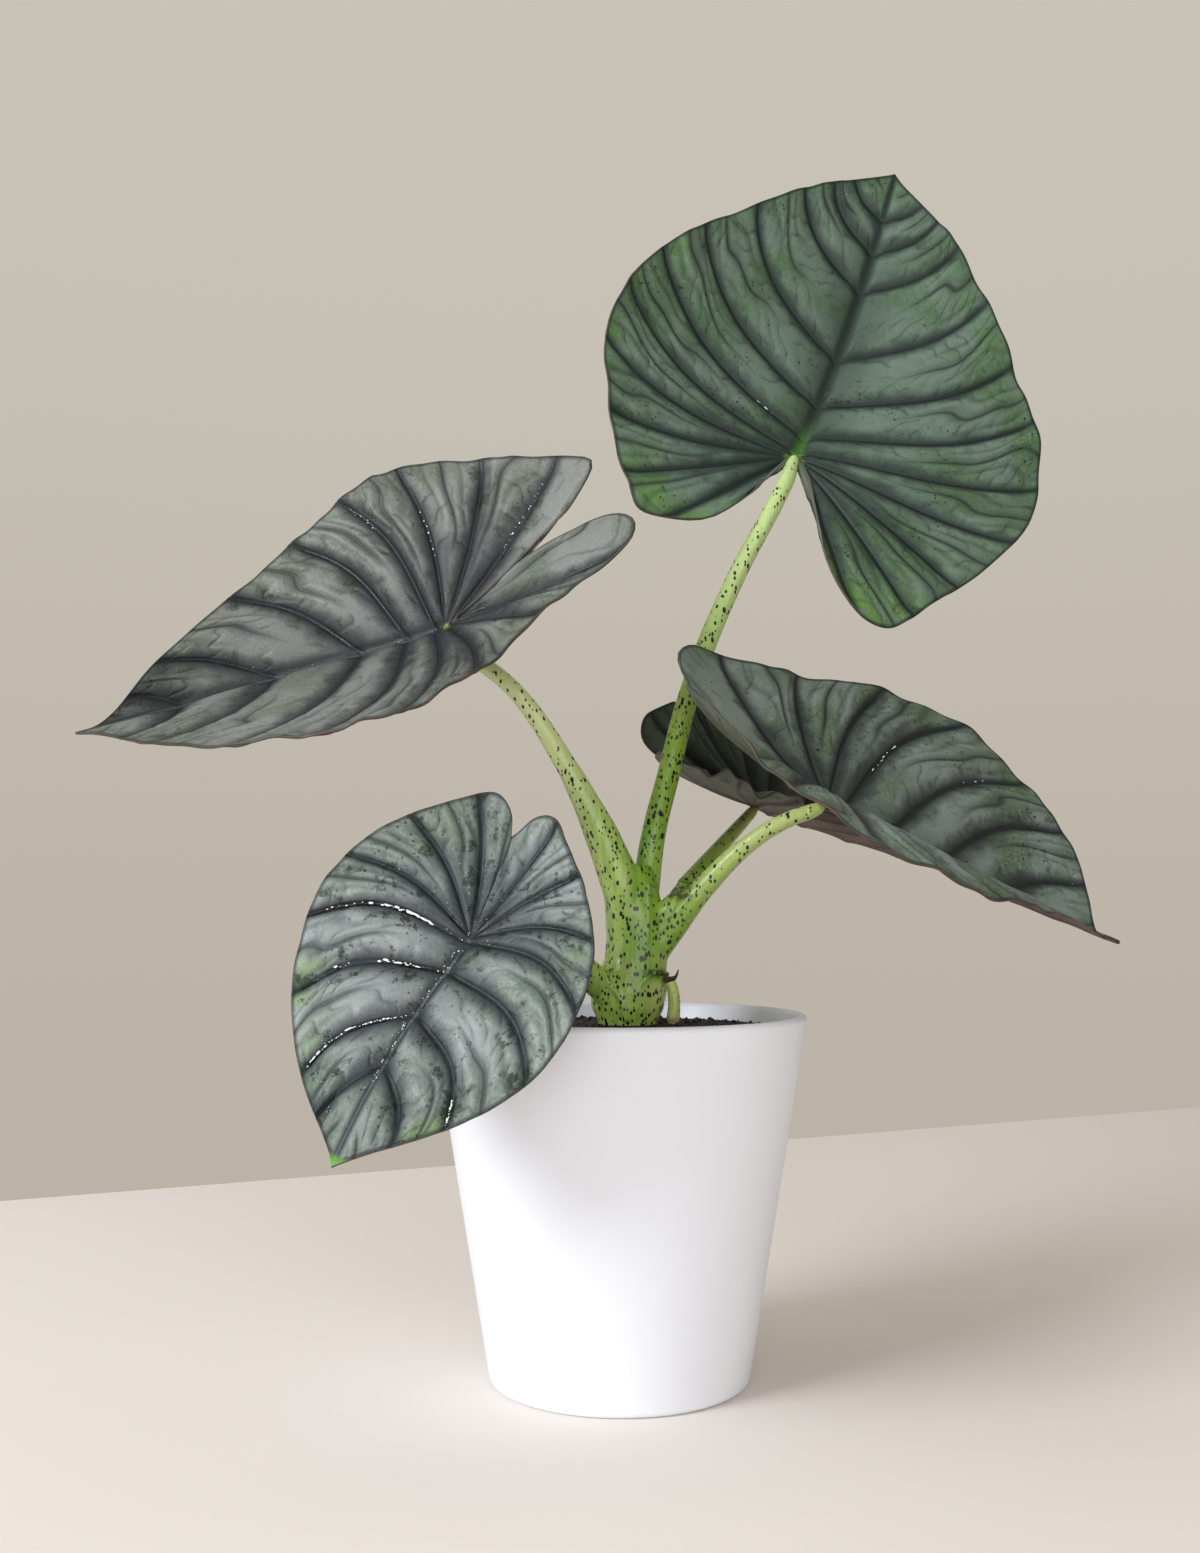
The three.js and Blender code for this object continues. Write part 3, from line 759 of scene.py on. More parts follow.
leafLooks = {
    "tall": dict(pale=(0.118, 0.172, 0.132), green=(0.066, 0.128, 0.056), slate=(0.006, 0.015, 0.013),
                 vivid=(0.11, 0.25, 0.035),
                 band=9.0, spine=7.0, rough=0.46, wet=0.0, pits=0.95, grass=0.55, lobes=0.75, smudge=0.3,
                 midribGlint=0.0, bud=0.0),
    "left": dict(pale=(0.192, 0.207, 0.190), green=(0.115, 0.138, 0.100), slate=(0.008, 0.012, 0.016),
                 vivid=(0.10, 0.16, 0.05),
                 band=14.0, spine=9.0, rough=0.44, wet=0.5, pits=0.6, grass=0.0, lobes=0.0, smudge=0.6,
                 midribGlint=0.25, bud=0.0),
    "front": dict(pale=(0.262, 0.292, 0.285), green=(0.150, 0.195, 0.150), slate=(0.012, 0.018, 0.024),
                  vivid=(0.17, 0.29, 0.08),
                  band=9.5, spine=6.5, rough=0.36, wet=1.0, pits=0.7, grass=0.7, lobes=0.0, smudge=0.8,
                  midribGlint=0.4, bud=0.9),
    "right": dict(pale=(0.172, 0.212, 0.190), green=(0.070, 0.112, 0.056), slate=(0.007, 0.012, 0.013),
                  vivid=(0.08, 0.17, 0.03),
                  band=10.0, spine=6.0, rough=0.44, wet=0.5, pits=0.95, grass=0.45, lobes=0.0, smudge=0.5,
                  midribGlint=0.0, bud=0.0),
    "back": dict(pale=(0.060, 0.088, 0.058), green=(0.035, 0.060, 0.030), slate=(0.006, 0.010, 0.008),
                 vivid=(0.05, 0.10, 0.02),
                 band=7.0, spine=4.0, rough=0.46, wet=0.0, pits=0.3, grass=0.3, lobes=0.0, smudge=0.0,
                 midribGlint=0.0, bud=0.0),
}


def nearWhole(tree, count, scale):
    off = calc(tree, "ABSOLUTE", calc(tree, "SUBTRACT", count, calc(tree, "ROUND", count)))
    return times(tree, off, scale)


def without(tree, value):
    return calc(tree, "SUBTRACT", 1.0, value)


def bladeMaterial(name, look):
    material, tree, shader = newMaterial(name)
    keys = ("vein", "span", "run", "reach", "rim", "mid", "second", "branch", "ahead", "side", "out")
    vein, span, run, reach, rim, mid, second, branch, ahead, side, out = (attribute(tree,
                                                                                    key) for key in keys)
    place = stretch(tree, objectPlace(tree), (1000, 1000, 1000))
    slow = noise(tree, place, 0.03, 2)
    wander = noise(tree, place, 0.10, 2)
    fine = noise(tree, place, 0.8, 4, 0.65)
    grit = noise(tree, place, 2.2, 3, 0.7)
    sway = times(tree, calc(tree, "SUBTRACT", noise(tree, place, 0.3, 3), 0.5), 1.6)
    beyondTip = fade(tree, vein, 0.45, 0.6)
    main = plus(tree, nearWhole(tree, vein, span), times(tree, without(tree, beyondTip), 9.0))
    swayed = calc(tree, "ABSOLUTE", plus(tree, main, times(tree, sway, fade(tree, main, 0.3, 3.0))))
    # Soft dark bands along the side veins, wide near the middle and narrow at the margin.
    width = times(tree, fade(tree, reach, 0.0, 1.0, look["band"], look["band"] * 0.40),
                  fade(tree, wander, 0.3, 0.7, 0.75, 1.25))
    band = without(tree, fade(tree, calc(tree, "DIVIDE", swayed, width), 0.0, 1.0))
    core = without(tree, fade(tree, main, 0.2, 1.3))
    along = fade(tree, ahead, -6.0, 4.0)
    spineWidth = plus(tree, look["spine"], times(tree, calc(tree, "SUBTRACT", fine, 0.5), 3.0))
    spineWidth = times(tree, spineWidth, fade(tree, vein, 0.0, 4.0, 0.35, 1.0))
    spine = times(tree, without(tree, fade(tree, mid, 0.3, spineWidth)), along)
    nearHub = without(tree, fade(tree, plus(tree, out, times(tree, sway, 3.0)), 1.0, look["hub"]))
    flank = times(tree, without(tree, fade(tree, mid, 2.0, look["spine"] * 3.4)), fade(tree, vein, 1.0, 4.0))
    between = nearWhole(tree, second, span)
    shown = fade(tree, reach, 0.25, 0.65)
    thin = times(tree, without(tree, fade(tree, between, 0.15, 0.9)), shown)
    thinBand = times(tree, without(tree, fade(tree, between, 0.2, 3.6)), shown)
    quarter = calc(tree, "SUBTRACT", times(tree, plus(tree, second, times(tree, sway, 0.02)), 2.0), 0.5)
    quarter = nearWhole(tree, quarter, times(tree, span, 0.5))
    faint = times(tree, without(tree, fade(tree, quarter, 0.1, 1.6)), fade(tree, reach, 0.40, 0.75))
    twig = nearWhole(tree, plus(tree, branch, times(tree, sway, 0.08)), look["branches"])
    some = times(tree, fade(tree, noise(tree, place, 0.10, 1), 0.42, 0.60),
                 fade(tree, calc(tree, "MINIMUM", between, main), 0.4, 2.5))
    twigs = times(tree, without(tree, fade(tree, twig, 0.1, 0.8)), some)
    twigBand = times(tree, without(tree, fade(tree, twig, 0.2, 2.4)), some)
    dark = calc(tree, "MAXIMUM", times(tree, band, 0.96), times(tree, spine, 0.95))
    dark = calc(tree, "MAXIMUM", dark, times(tree, nearHub, 0.95))
    dark = calc(tree, "MAXIMUM", dark, times(tree, flank, 0.58))
    dark = calc(tree, "MAXIMUM", dark, core)
    for part, strength in ((thin, 0.60), (thinBand, 0.42), (faint, 0.34), (twigs, 0.22), (twigBand, 0.16)):
        left = without(tree, dark)
        dark = plus(tree, dark, times(tree, times(tree, part, strength), left), clamp=True)
    edgeGreen = times(tree, without(tree, fade(tree, rim, 1.0, 16.0)), fade(tree, wander, 0.3, 0.65))
    greener = plus(tree, fade(tree, slow, 0.44, 0.66), times(tree, edgeGreen, 0.7), clamp=True)
    panel = blend(tree, greener, look["pale"], look["green"])
    panel = blend(tree, fade(tree, fine, 0.35, 0.75, 0.0, 0.45), panel, tuple(v * 1.4 for v in look["pale"]))
    panel = blend(tree, fade(tree, grit, 0.45, 0.75, 0.0, 0.3), panel, tuple(v * 0.6 for v in look["green"]))
    grass = times(tree, fade(tree, noise(tree, place, 0.045, 3), 0.50, 0.72),
                  without(tree, fade(tree, rim, 2.0, 22.0)))
    grass = times(tree, grass, look["grass"])
    low = times(tree, fade(tree, vein, look["last"] - 2.6, look["last"] - 0.9),
                without(tree, fade(tree, rim, 2.0, 24.0)))
    low = times(tree, times(tree, low, fade(tree, wander, 0.3, 0.6)), look["lobes"])
    panel = blend(tree, calc(tree, "MAXIMUM", grass, low), panel, look["vivid"])
    colour = blend(tree, dark, panel, look["slate"])
    border = without(tree, fade(tree, rim, 0.5, 1.8))
    colour = blend(tree, times(tree, border, 0.75), colour, tuple(v * 0.8 for v in look["slate"]))
    shoot = times(tree, without(tree, fade(tree, mid, 1.0, 3.2)), without(tree, fade(tree, out, 8.0, 28.0)))
    colour = blend(tree, times(tree, shoot, look["star"]), colour, (0.035, 0.115, 0.018))
    star = without(tree, fade(tree, plus(tree, out, times(tree, nearWhole(tree, vein, span), 2.5)), 1.5, 6.5))
    colour = blend(tree, times(tree, star, look["star"]), colour, (0.13, 0.33, 0.035))
    knot = without(tree, fade(tree, out, 0.8, 2.0))
    colour = blend(tree, times(tree, knot, look["knot"]), colour, (0.33, 0.46, 0.07))
    cluster = fade(tree, noise(tree, place, 0.04, 2), 0.45, 0.62)
    pits = calc(tree, "MAXIMUM", specks(tree, place, 0.8, 0.30, 0.10, 0.42),
                specks(tree, place, 0.42, 0.12, 0.10, 0.34))
    pits = times(tree, times(tree, pits, cluster), look["pits"])
    colour = blend(tree, pits, colour, (0.006, 0.008, 0.006))
    # Painted highlight: a pale grey-blue line along the midrib towards the tip stands in for the glint of
    # light on its wet edges. It is strongest on the front leaf, weaker on the left leaf and absent on the
    # others.
    line = times(tree, without(tree, fade(tree, mid, 0.2, 0.55)), fade(tree, ahead, 4.0, 12.0))
    colour = blend(tree, times(tree, line, look["midribGlint"]), colour, (0.190, 0.195, 0.225))
    # Damp, darkened patches beside the veins.
    damp = fade(tree, noise(tree, place, 0.15, 5, 0.72), 0.55, 0.60)
    damp = times(tree, damp, without(tree, fade(tree, main, 4.0, 9.0)))
    damp = times(tree, times(tree, damp, fade(tree, fine, 0.30, 0.48)), look["smudge"])
    colour = blend(tree, damp, colour, (0.008, 0.018, 0.008))
    colour = blend(tree, fade(tree, ahead, look["tip"] - 4.5, look["tip"] - 1.5, 0.0, look["bud"]), colour,
                   (0.15, 0.36, 0.05))
    # Water lying in some of the veins.
    lane = plus(tree, times(tree, calc(tree, "ROUND", vein), 5.3), times(tree, side, 2.1))
    pool = noise(tree, vectorOf(tree, calc(tree, "DIVIDE", run, 16.0), lane), 1.0, 1)
    wet = times(tree, fade(tree, pool, 0.50, 0.56), without(tree, fade(tree, main, 0.55, 1.1)))
    wet = times(tree, times(tree, wet, beyondTip),
                fade(tree, side, -1.0, 1.0, look["wet"], look["wet"] * 0.45))
    colour = blend(tree, times(tree, wet, 0.9), colour, (0.003, 0.004, 0.004))
    put(tree, shader.inputs["Base Color"], colour)
    rough = fade(tree, fine, 0.2, 0.8, look["rough"] - 0.06, look["rough"] + 0.10)
    put(tree, shader.inputs["Roughness"],
        times(tree, rough, fade(tree, calc(tree, "MAXIMUM", wet, damp), 0.2, 0.8, 1.0, 0.25)))
    shader.inputs["Specular IOR Level"].default_value = 0.30
    shader.inputs["Coat Weight"].default_value = 0.06
    shader.inputs["Coat Roughness"].default_value = 0.28
    ridges = plus(tree, times(tree, thin, -0.9), times(tree, twigs, -0.6))
    ridges = plus(tree, ridges, times(tree, fine, 0.9))
    ridges = plus(tree, ridges, times(tree, grit, 0.25))
    ridges = plus(tree, ridges, times(tree, core, -0.9))
    bump(tree, shader, ridges, 0.6, 0.0005)
    return material


def undersideMaterial(name, light, deep, ribs, lobeTone=(0.096, 0.110, 0.083)):
    material, tree, shader = newMaterial(name)
    vein, span, mid, second, ahead = (attribute(tree, key) for key in ("vein", "span", "mid", "second",
                                                                       "ahead"))
    place = stretch(tree, objectPlace(tree), (1000, 1000, 1000))
    fine = noise(tree, place, 0.7, 4, 0.6)
    band = without(tree, fade(tree, nearWhole(tree, vein, span), 0.3, 1.3))
    spine = without(tree, fade(tree, mid, 0.8, 2.4))
    thin = without(tree, fade(tree, nearWhole(tree, second, span), 0.1, 0.7))
    skinTone = blend(tree, fade(tree, noise(tree, place, 0.05, 3), 0.35, 0.65), light, deep)
    skinTone = blend(tree, fade(tree, fine, 0.3, 0.7, 0.0, 0.4), skinTone, tuple(v * 1.3 for v in light))
    skinTone = blend(tree, fade(tree, ahead, -14.0, 0.0), lobeTone, skinTone)
    raised = calc(tree, "MAXIMUM", calc(tree, "MAXIMUM", band, spine), times(tree, thin, 0.6))
    put(tree, shader.inputs["Base Color"], blend(tree, times(tree, raised, 0.8), skinTone, ribs))
    put(tree, shader.inputs["Roughness"], fade(tree, fine, 0.2, 0.8, 0.5, 0.62))
    bump(tree, shader, plus(tree, fine, times(tree, raised, 1.5)), 0.4, 0.0005)
    return material


def rimMaterial():
    material, tree, shader = newMaterial("leafRim")
    place = stretch(tree, objectPlace(tree), (1000, 1000, 1000))
    patch = noise(tree, place, 0.12, 3)
    put(tree, shader.inputs["Base Color"],
        blend(tree, fade(tree, patch, 0.4, 0.65), (0.035, 0.040, 0.028), (0.10, 0.05, 0.04)))
    shader.inputs["Roughness"].default_value = 0.45
    bump(tree, shader, patch, 0.2, 0.0003)
    return material


tanUnder = undersideMaterial("leafUndersideTan", (0.128, 0.090, 0.072), (0.088, 0.044, 0.042),
                             (0.062, 0.027, 0.026))
greenUnder = undersideMaterial("leafUndersideGreen", (0.062, 0.092, 0.046), (0.045, 0.070, 0.036),
                               (0.040, 0.040, 0.024))
edging = rimMaterial()
for name, leaf in blades.items():
    knot = {"tall": 1.0, "left": 0.8, "front": 0.0}.get(name, 0.3)
    tipAhead = leaf["right"][0][0]
    look = dict(leafLooks[name], root=len(leaf["starts"]) + 0.5, branches=leaf["branches"], knot=knot,
                last=lastVein(leaf), tip=tipAhead, star=1.0 if name == "tall" else 0.0, hub=tipAhead * 0.19)
    top, under = bladeMaterial(name + "BladeTop", look), greenUnder if name == "tall" else tanUnder
    blade = makeBlade(leaf, [top, under, edging])
    finishPiece(blade, name + "Blade", ["blade_" + name], [top, under, edging])
    print(name, "blade made", len(blade.data.polygons), "faces")

# Beads and streaks of water, low and round, strung along some of the side veins: each line has
# its side, its vein, where it starts and ends along it, how many beads and how long they are.
# They are set from the smooth leaf by a fixed depth, so they don't follow the furrows closely.
dew = dict(
    front=dict(seed=3, midrib=40, loose=46, small=0.15, large=0.42,
               lines=[("right", 4, 0.03, 0.12, 5, 1), ("right", 4, 0.24, 0.56, 22, 5),
                      ("right", 4, 0.62, 0.92, 7, 3),
                      ("right", 3, 0.16, 0.42, 14, 4), ("right", 3, 0.60, 0.72, 4, 2),
                      ("right", 3.5, 0.2, 0.55, 7, 3),
                      ("right", 2, 0.06, 0.40, 16, 2), ("right", 2, 0.40, 0.95, 14, 4),
                      ("left", 2, 0.80, 0.97, 10, 2)]),
    left=dict(seed=8, midrib=4, loose=12, small=0.13, large=0.28,
              lines=[("right", 6, 0.40, 0.70, 8, 3), ("right", 8, 0.45, 0.85, 16, 2),
                     ("right", 5, 0.68, 0.92, 8, 4)]),
    right=dict(seed=5, midrib=0, loose=10, small=0.12, large=0.26,
               lines=[("left", 4, 0.30, 0.55, 8, 4), ("left", 3, 0.62, 0.80, 4, 3)]),
    tall=dict(seed=4, midrib=0, loose=8, small=0.12, large=0.3, lines=[("left", 6, 0.16, 0.26, 4, 4)]),
)


# Painted highlight: the beads are water, but their near-white colour, mottled by noise, stands in for the
# glints of light on clear water rather than the colour of the water itself.
def paintedGlintBeadMaterial():
    material, tree, shader = newMaterial("paintedGlintBead")
    place = stretch(tree, objectPlace(tree), (1000, 1000, 1000))
    put(tree, shader.inputs["Base Color"],
        blend(tree, noise(tree, place, 0.8, 1), (0.70, 0.74, 0.76), (0.95, 0.97, 0.98)))
    shader.inputs["Roughness"].default_value = 0.06
    shader.inputs["IOR"].default_value = 1.4
    shader.inputs["Coat Weight"].default_value = 1.0
    return material


def makeDew(leaf, settings):
    dice = random.Random(settings["seed"])
    last = lastVein(leaf)
    spots = []
    for side, vein, start, end, count, longest in settings["lines"]:
        for i in range(count):
            x = (start + (end - start) * (i + dice.random()) / count) * (1 if side == "left" else -1)
            sink = -0.75 if vein == int(vein) else 0.1
            spots.append((vein + dice.gauss(0, 0.012), x, dice.random(), dice.uniform(1, longest), sink))
    for i in range(settings["midrib"]):
        spots.append((dice.uniform(0.4, len(leaf["starts"])), dice.gauss(-0.02, 0.02), dice.random() * 0.8, 1,
                      -0.9))
    for i in range(settings["loose"]):
        spots.append((dice.uniform(0.6, last - 0.6), dice.uniform(-0.9, 0.9), dice.random() * 0.4, 1, 0.2))
    k, x, chance, long, sink = np.array(spots).T
    plan = veinPlan(leaf, k, x)
    s, t = plan[:, 0], plan[:, 1]
    places = leafSurface(leaf, s, t)
    ds = leafSurface(leaf, s + 0.5, t) - leafSurface(leaf, s - 0.5, t)
    dt = leafSurface(leaf, s, t + 0.5) - leafSurface(leaf, s, t - 0.5)
    normals = np.cross(ds, dt)
    normals /= np.linalg.norm(normals, axis=1)[:, None]
    further = veinPlan(leaf, k, x * 1.02 + 0.002)
    lengthways = leafSurface(leaf, further[:, 0], further[:, 1]) - places
    made = []
    for i, place in enumerate(places):
        radius = settings["small"] + (settings["large"] - settings["small"]) * chance[i] ** 2
        bpy.ops.mesh.primitive_ico_sphere_add(subdivisions=2 if long[i] > 1.5 else 1, radius=radius * mm,
                                              location=(0, 0, 0))
        bead = bpy.context.object
        up, ahead = Vector(normals[i]), Vector(lengthways[i]).normalized()
        turn = Matrix((ahead, up.cross(ahead), up)).transposed().to_4x4()
        there = Matrix.Translation(Vector((place + normals[i] * sink[i]) * mm))
        bead.matrix_world = there @ turn @ Matrix.Diagonal((long[i], 1, 0.7, 1))
        made.append(bead)
    thing = joined(made)
    smoothShade(thing)
    return thing


glintBeadLook = paintedGlintBeadMaterial()
for name, settings in dew.items():
    finishPiece(makeDew(blades[name], settings), name + "BladeDew", [], [glintBeadLook])
print("beads of water made")

# Stalks and stem base.
# Rows are x, y, z and radius in mm. `free` is the first row that the stem base doesn't cover.

stalks = {
    "tall": dict(free=1, joins="edge", tip=3.0, pale=(0.44, 0.57, 0.22), turn=(215, 300),
                 rows=[(5, 1, 137, 6.4), (9, 3, 163, 4.9), (12.4, 5, 186, 4.25), (17, 8, 204, 4.05),
                       (26, 13, 238, 3.75), (41, 21, 276, 3.4)]),
    "left": dict(free=1, joins="under", tip=2.7, pale=(0.56, 0.64, 0.29), turn=(175, 225),
                 rows=[(4, -1, 144, 7.0), (1, -3, 167, 7.1), (-5.8, -4, 184, 6.0), (-12, -5, 197, 4.6),
                       (-18.5, -6, 209, 3.7), (-36.5, -8, 235, 2.9)]),
    "front": dict(free=1, joins="straight", tip=2.3, pale=(0.40, 0.55, 0.17), turn=(135, 155),
                  rows=[(3, -3, 124, 6.4), (-7, -8, 133.5, 5.2), (-14, -16, 141, 4.1), (-24, -30, 149, 3.0)]),
    "right": dict(free=1, joins="straight", tip=2.5, pale=(0.45, 0.55, 0.17), turn=(155, 188),
                  rows=[(9, -1, 141, 6.0), (16.6, -2, 150.5, 5.2), (29.4, -6, 166.5, 3.9),
                        (45.5, -10, 182, 3.0), (58, -12.5, 189.5, 2.7)]),
    "back": dict(free=1, joins="straight", tip=2.2, pale=(0.36, 0.48, 0.12), turn=(165, 190),
                 rows=[(7, 4, 143, 4.4), (24, 18, 167, 3.4), (38, 36, 182, 2.8)]),
}
stemBase = dict(
    centre=3, voxel=0.5, smooth=9,
    rings=[(102, 0, 5, 5), (104, 0, 8.5, 8.5), (110, 0, 11, 11), (119.6, 0, 10.2, 10.2), (125, 0, 12.6, 12.0),
           (131, 0.2, 13.4, 12.4), (136.5, 1.4, 12.0, 11.2), (141.5, 2.8, 11.0, 10.2), (149, 3.2, 10.6, 9.8),
           (157, 2.6, 10.4, 9.4), (167, 1, 9.4, 8), (174, 0.6, 7.4, 6)],
    lips=[dict(place=(17.6, -3.4, 157.5), size=(4.8, 3.4, 8.6), lean=30)],
    folds=[[(17.0, -3.6, 136.4, 0.9), (14.2, -7.4, 137.2, 1.0), (11, -9.6, 136.6, 0.9),
            (8, -11.0, 134.2, 0.6), (6.5, -11.6, 131.5, 0.3)],
           [(2.5, -11.6, 121, 0.7), (0.5, -11.9, 128, 0.9), (-3.5, -11.6, 134, 0.9), (-7.5, -10.8, 139, 0.7),
            (-10.5, -10.6, 142.5, 0.5)],
           [(8.5, -9.2, 141, 0.5), (9.6, -8.8, 150, 0.7), (10.4, -7.6, 160, 0.6), (10.6, -6, 168, 0.4)]],
)


def stalkMaterial(name, pale, turn):
    material, tree, shader = newMaterial(name)
    place = stretch(tree, objectPlace(tree), (1000, 1000, 1000))
    axes = partsOf(tree, place)
    streak = noise(tree, stretch(tree, place, (1, 1, 0.12)), 0.55, 3)
    patch = noise(tree, place, 0.09, 2)
    fine = noise(tree, place, 1.6, 3)
    # Three tones across x. The pale left is the left stalk's sheath, and the mid-green right is the right
    # stalks' own tone. The darker green in the middle, around x 7 to 12 mm, is painted shade of the valley
    # between the left and tall stalks.
    base = blend(tree, fade(tree, axes[0], -2.0, 7.0), (0.43, 0.60, 0.140), (0.190, 0.390, 0.030))
    base = blend(tree, fade(tree, axes[0], 9.0, 16.0), base, (0.280, 0.450, 0.050))
    base = blend(tree, fade(tree, axes[2], 140.0, 122.0), base, (0.430, 0.600, 0.115))
    base = blend(tree, fade(tree, streak, 0.35, 0.7, 0.0, 0.45), base, (0.120, 0.270, 0.020))
    base = blend(tree, fade(tree, patch, 0.48, 0.7, 0.0, 0.45), base, (0.420, 0.500, 0.150))
    bulge = times(tree, fade(tree, axes[0], 8.0, 13.0),
                  times(tree, fade(tree, axes[2], 136.0, 132.0), fade(tree, axes[2], 118.0, 124.0)))
    base = blend(tree, times(tree, bulge, 0.8), base, (0.56, 0.62, 0.20))
    rise = fade(tree, axes[2], turn[0], turn[1])
    mixing = plus(tree, rise, times(tree, calc(tree, "SUBTRACT", streak, 0.5), times(tree, rise, 0.8)),
                  clamp=True)
    colour = blend(tree, mixing, base, pale)
    # The dried edges of old sheaths.
    low = times(tree, fade(tree, axes[2], 135.4, 136.6), fade(tree, axes[2], 139.0, 137.6))
    low = times(tree, times(tree, low, fade(tree, axes[1], -2.0, -5.0)), fade(tree, axes[0], 2.0, 12.0))
    high = times(tree, fade(tree, axes[2], 160.5, 163.5), fade(tree, axes[2], 167.5, 166.5))
    high = times(tree, high, times(tree, fade(tree, axes[0], 16.0, 19.0), fade(tree, axes[0], 26.0, 24.0)))
    dried = times(tree, calc(tree, "MAXIMUM", low, high), fade(tree, noise(tree, place, 0.7, 3), 0.38, 0.52))
    colour = blend(tree, times(tree, dried, 0.85), colour, (0.022, 0.020, 0.010))
    long = stretch(tree, place, (1, 1, 0.6))
    fewer = times(tree, rise, 0.30)
    dots = specks(tree, long, 0.80, calc(tree, "SUBTRACT", 0.62, fewer), 0.26, 0.50)
    large = specks(tree, long, 0.42, calc(tree, "SUBTRACT", 0.40, fewer), 0.15, 0.36)
    black = calc(tree, "MAXIMUM", dots, large)
    colour = blend(tree, black, colour, (0.002, 0.004, 0.004))
    put(tree, shader.inputs["Base Color"], colour)
    put(tree, shader.inputs["Roughness"], fade(tree, fine, 0.2, 0.8, 0.26, 0.40))
    shader.inputs["Coat Weight"].default_value = 0.2
    shader.inputs["Coat Roughness"].default_value = 0.15
    ridges = plus(tree, times(tree, streak, 1.6), times(tree, fine, 0.3))
    bump(tree, shader, plus(tree, ridges, times(tree, black, -0.3)), 0.4, 0.0005)
    return material


def fullRows(name):
    stalk, leaf = stalks[name], blades[name]
    along, normal = leafAxes(leaf)[:2]
    at, tip = np.array(leaf["at"], float), stalk["tip"]
    if stalk["joins"] == "straight":
        path = at - np.array(stalk["rows"][-1][:3])
        path /= np.linalg.norm(path)
        end = at - normal * 1.2
        return stalk["rows"] + [(*(at - path * 5.5 - normal * 0.8), tip),
                                (*(at - path * 2.2 - normal * 0.9), tip * 0.8), (*end, 0.7)]
    away = along if stalk["joins"] == "edge" else normal
    short, back = (0.2, 14) if stalk["joins"] == "edge" else (1.2, 8)
    end = at - away * short
    return stalk["rows"] + [(*(end - away * back), tip), (*(end - away * 5), tip * 0.86),
                            (*(end - away * 1.5), tip * 0.72), (*end, tip * 0.5)]


def blob(settings):
    # A rounded lobe of sheath, leaning sideways.
    bpy.ops.mesh.primitive_uv_sphere_add(segments=28, ring_count=16, radius=mm,
                                         location=[v * mm for v in settings["place"]])
    thing = bpy.context.object
    thing.scale = settings["size"]
    thing.rotation_euler = (0, math.radians(settings["lean"]), 0)
    pick(thing)
    bpy.ops.object.transform_apply(location=False, rotation=True, scale=True)
    return thing


def makeStemBase(p):
    parts = []
    for name, stalk in stalks.items():
        rows = stalk["rows"][:2 if name in ("back", "front") else 3]
        x, y, z, r = rows[-1]
        rows = rows[:-1] + [(x, y, z, r * 0.93)]  # the end sinks just inside the stalk that goes on
        parts.append(tube(rows, sides=12))
    corm = turned([(r, z) for z, shift, r, deep in p["rings"]], 40, (p["centre"], 0))
    for vertex in corm.data.vertices:
        z = (vertex.co.z + corm.location.z) / mm
        heights = [row[0] for row in p["rings"]]
        vertex.co.y *= np.interp(z, heights, [row[3] / row[2] for row in p["rings"]])
        vertex.co.x += np.interp(z, heights, [row[1] for row in p["rings"]]) * mm
    pick(corm)
    bpy.ops.object.mode_set(mode="EDIT")
    bpy.ops.mesh.select_all(action="DESELECT")
    bpy.ops.mesh.select_mode(type="EDGE")
    bpy.ops.mesh.select_non_manifold()
    bpy.ops.mesh.edge_face_add()
    bpy.ops.object.mode_set(mode="OBJECT")
    parts += [corm] + [blob(lobe) for lobe in p["lips"]] + [tube(rows) for rows in p["folds"]]
    thing = joined(parts)
    pick(thing)
    bpy.ops.object.transform_apply(location=True, rotation=True, scale=True)
    useModifier(thing, "REMESH", mode="VOXEL", voxel_size=p["voxel"] * mm)
    useModifier(thing, "SMOOTH", factor=0.5, iterations=p["smooth"])
    smoothShade(thing)
    return thing


for name, stalk in stalks.items():
    body = tube(fullRows(name)[stalk["free"]:], sides=12, steps=14)
    smoothShade(body, 50)
    look = stalkMaterial(name + "StalkSkin", stalk["pale"], stalk["turn"])
    finishPiece(body, name + "Stalk", ["stalk_" + name], [look])
stem = makeStemBase(stemBase)
finishPiece(stem, "stemBaseBody", ["stem_base"],
            [stalkMaterial("stemSkin", (0.56, 0.64, 0.29), (195, 250))])
print("stalks and stem base made", len(stem.data.polygons), "faces")

# The old cut stalk and the dry scrap of sheath.

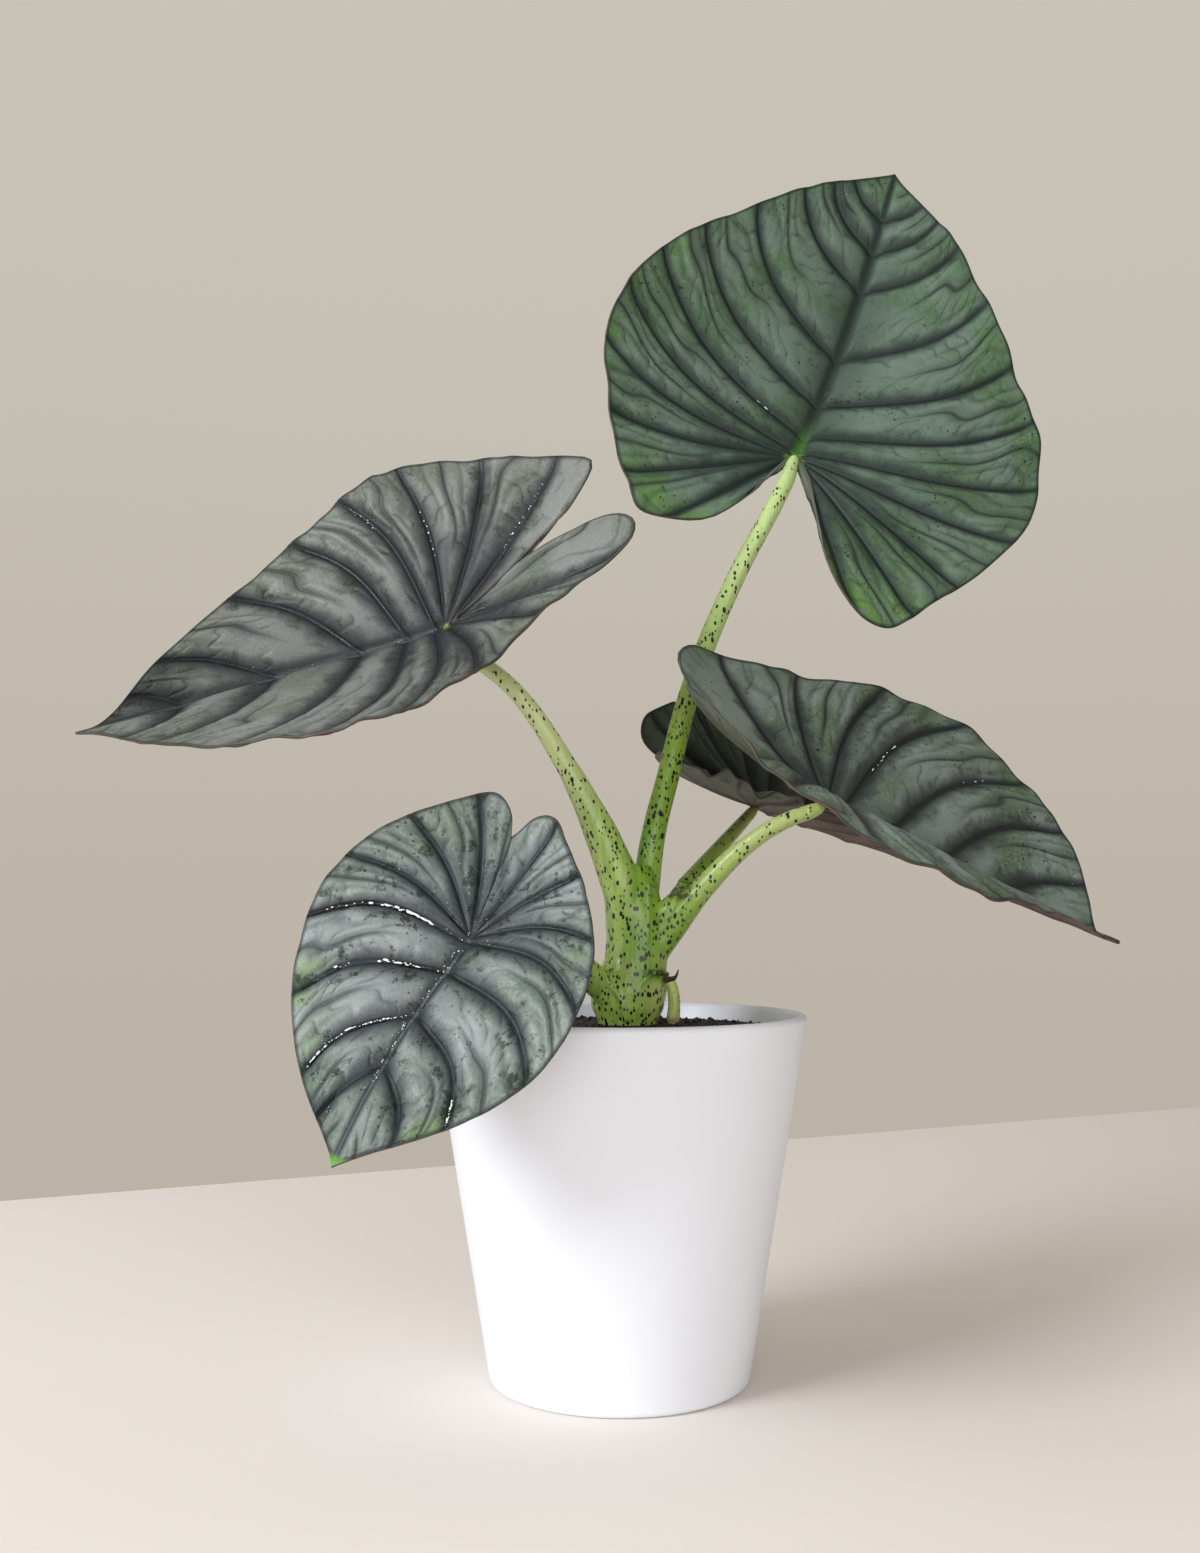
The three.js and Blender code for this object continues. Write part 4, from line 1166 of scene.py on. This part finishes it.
oldStalk = [(18.2, -5.4, 119.9, 1.7), (18.4, -5.5, 121, 2.3), (18.9, -5.6, 126, 2.1),
            (18.6, -5.5, 130.5, 2.0), (17.6, -5.4, 134, 1.9)]
dryTips = [
    [(16.6, -5.0, 133.4, 1.5), (18.4, -5.6, 134.9, 1.0), (19.6, -5.9, 136.0, 0.5), (20.4, -6.1, 138.2, 0.18)],
    [(15.6, -6.2, 134.4, 1.2), (17.4, -6.6, 135.2, 0.8), (19.2, -6.8, 135.2, 0.25)],
]


def oldStalkMaterial():
    material, tree, shader = newMaterial("oldStalkSkin")
    place = stretch(tree, objectPlace(tree), (1000, 1000, 1000))
    height = partsOf(tree, place)[2]
    streak = noise(tree, stretch(tree, place, (1, 1, 0.15)), 0.9, 3)
    colour = blend(tree, fade(tree, streak, 0.3, 0.7), (0.46, 0.58, 0.13), (0.60, 0.68, 0.24))
    scar = calc(tree, "SUBTRACT", 1.0, fade(tree, height, 120.5, 123.5))
    colour = blend(tree, times(tree, scar, fade(tree, noise(tree, place, 0.5, 2), 0.4, 0.6)), colour,
                   (0.42, 0.16, 0.15))
    dots = specks(tree, place, 0.9, 0.55, 0.18, 0.38)
    colour = blend(tree, times(tree, dots, 0.8), colour, (0.03, 0.03, 0.012))
    put(tree, shader.inputs["Base Color"], colour)
    shader.inputs["Roughness"].default_value = 0.4
    bump(tree, shader, streak, 0.5, 0.0005)
    return material


def dryMaterial():
    material, tree, shader = newMaterial("drySheath")
    place = stretch(tree, objectPlace(tree), (1000, 1000, 1000))
    fibre = noise(tree, stretch(tree, place, (1, 1, 0.3)), 1.2, 4)
    put(tree, shader.inputs["Base Color"], blend(tree, fibre, (0.012, 0.009, 0.007), (0.10, 0.06, 0.035)))
    shader.inputs["Roughness"].default_value = 0.75
    bump(tree, shader, fibre, 0.7, 0.0004)
    return material


stub = tube(oldStalk)
smoothShade(stub, 50)
finishPiece(stub, "oldStalkBody", ["old_stalk"], [oldStalkMaterial()])
scrap = joined([tube(rows, sides=4, steps=4) for rows in dryTips])
smoothShade(scrap, 50)
finishPiece(scrap, "drySheathBody", ["dry_sheath"], [dryMaterial()])
print("old stalk and dry sheath made")
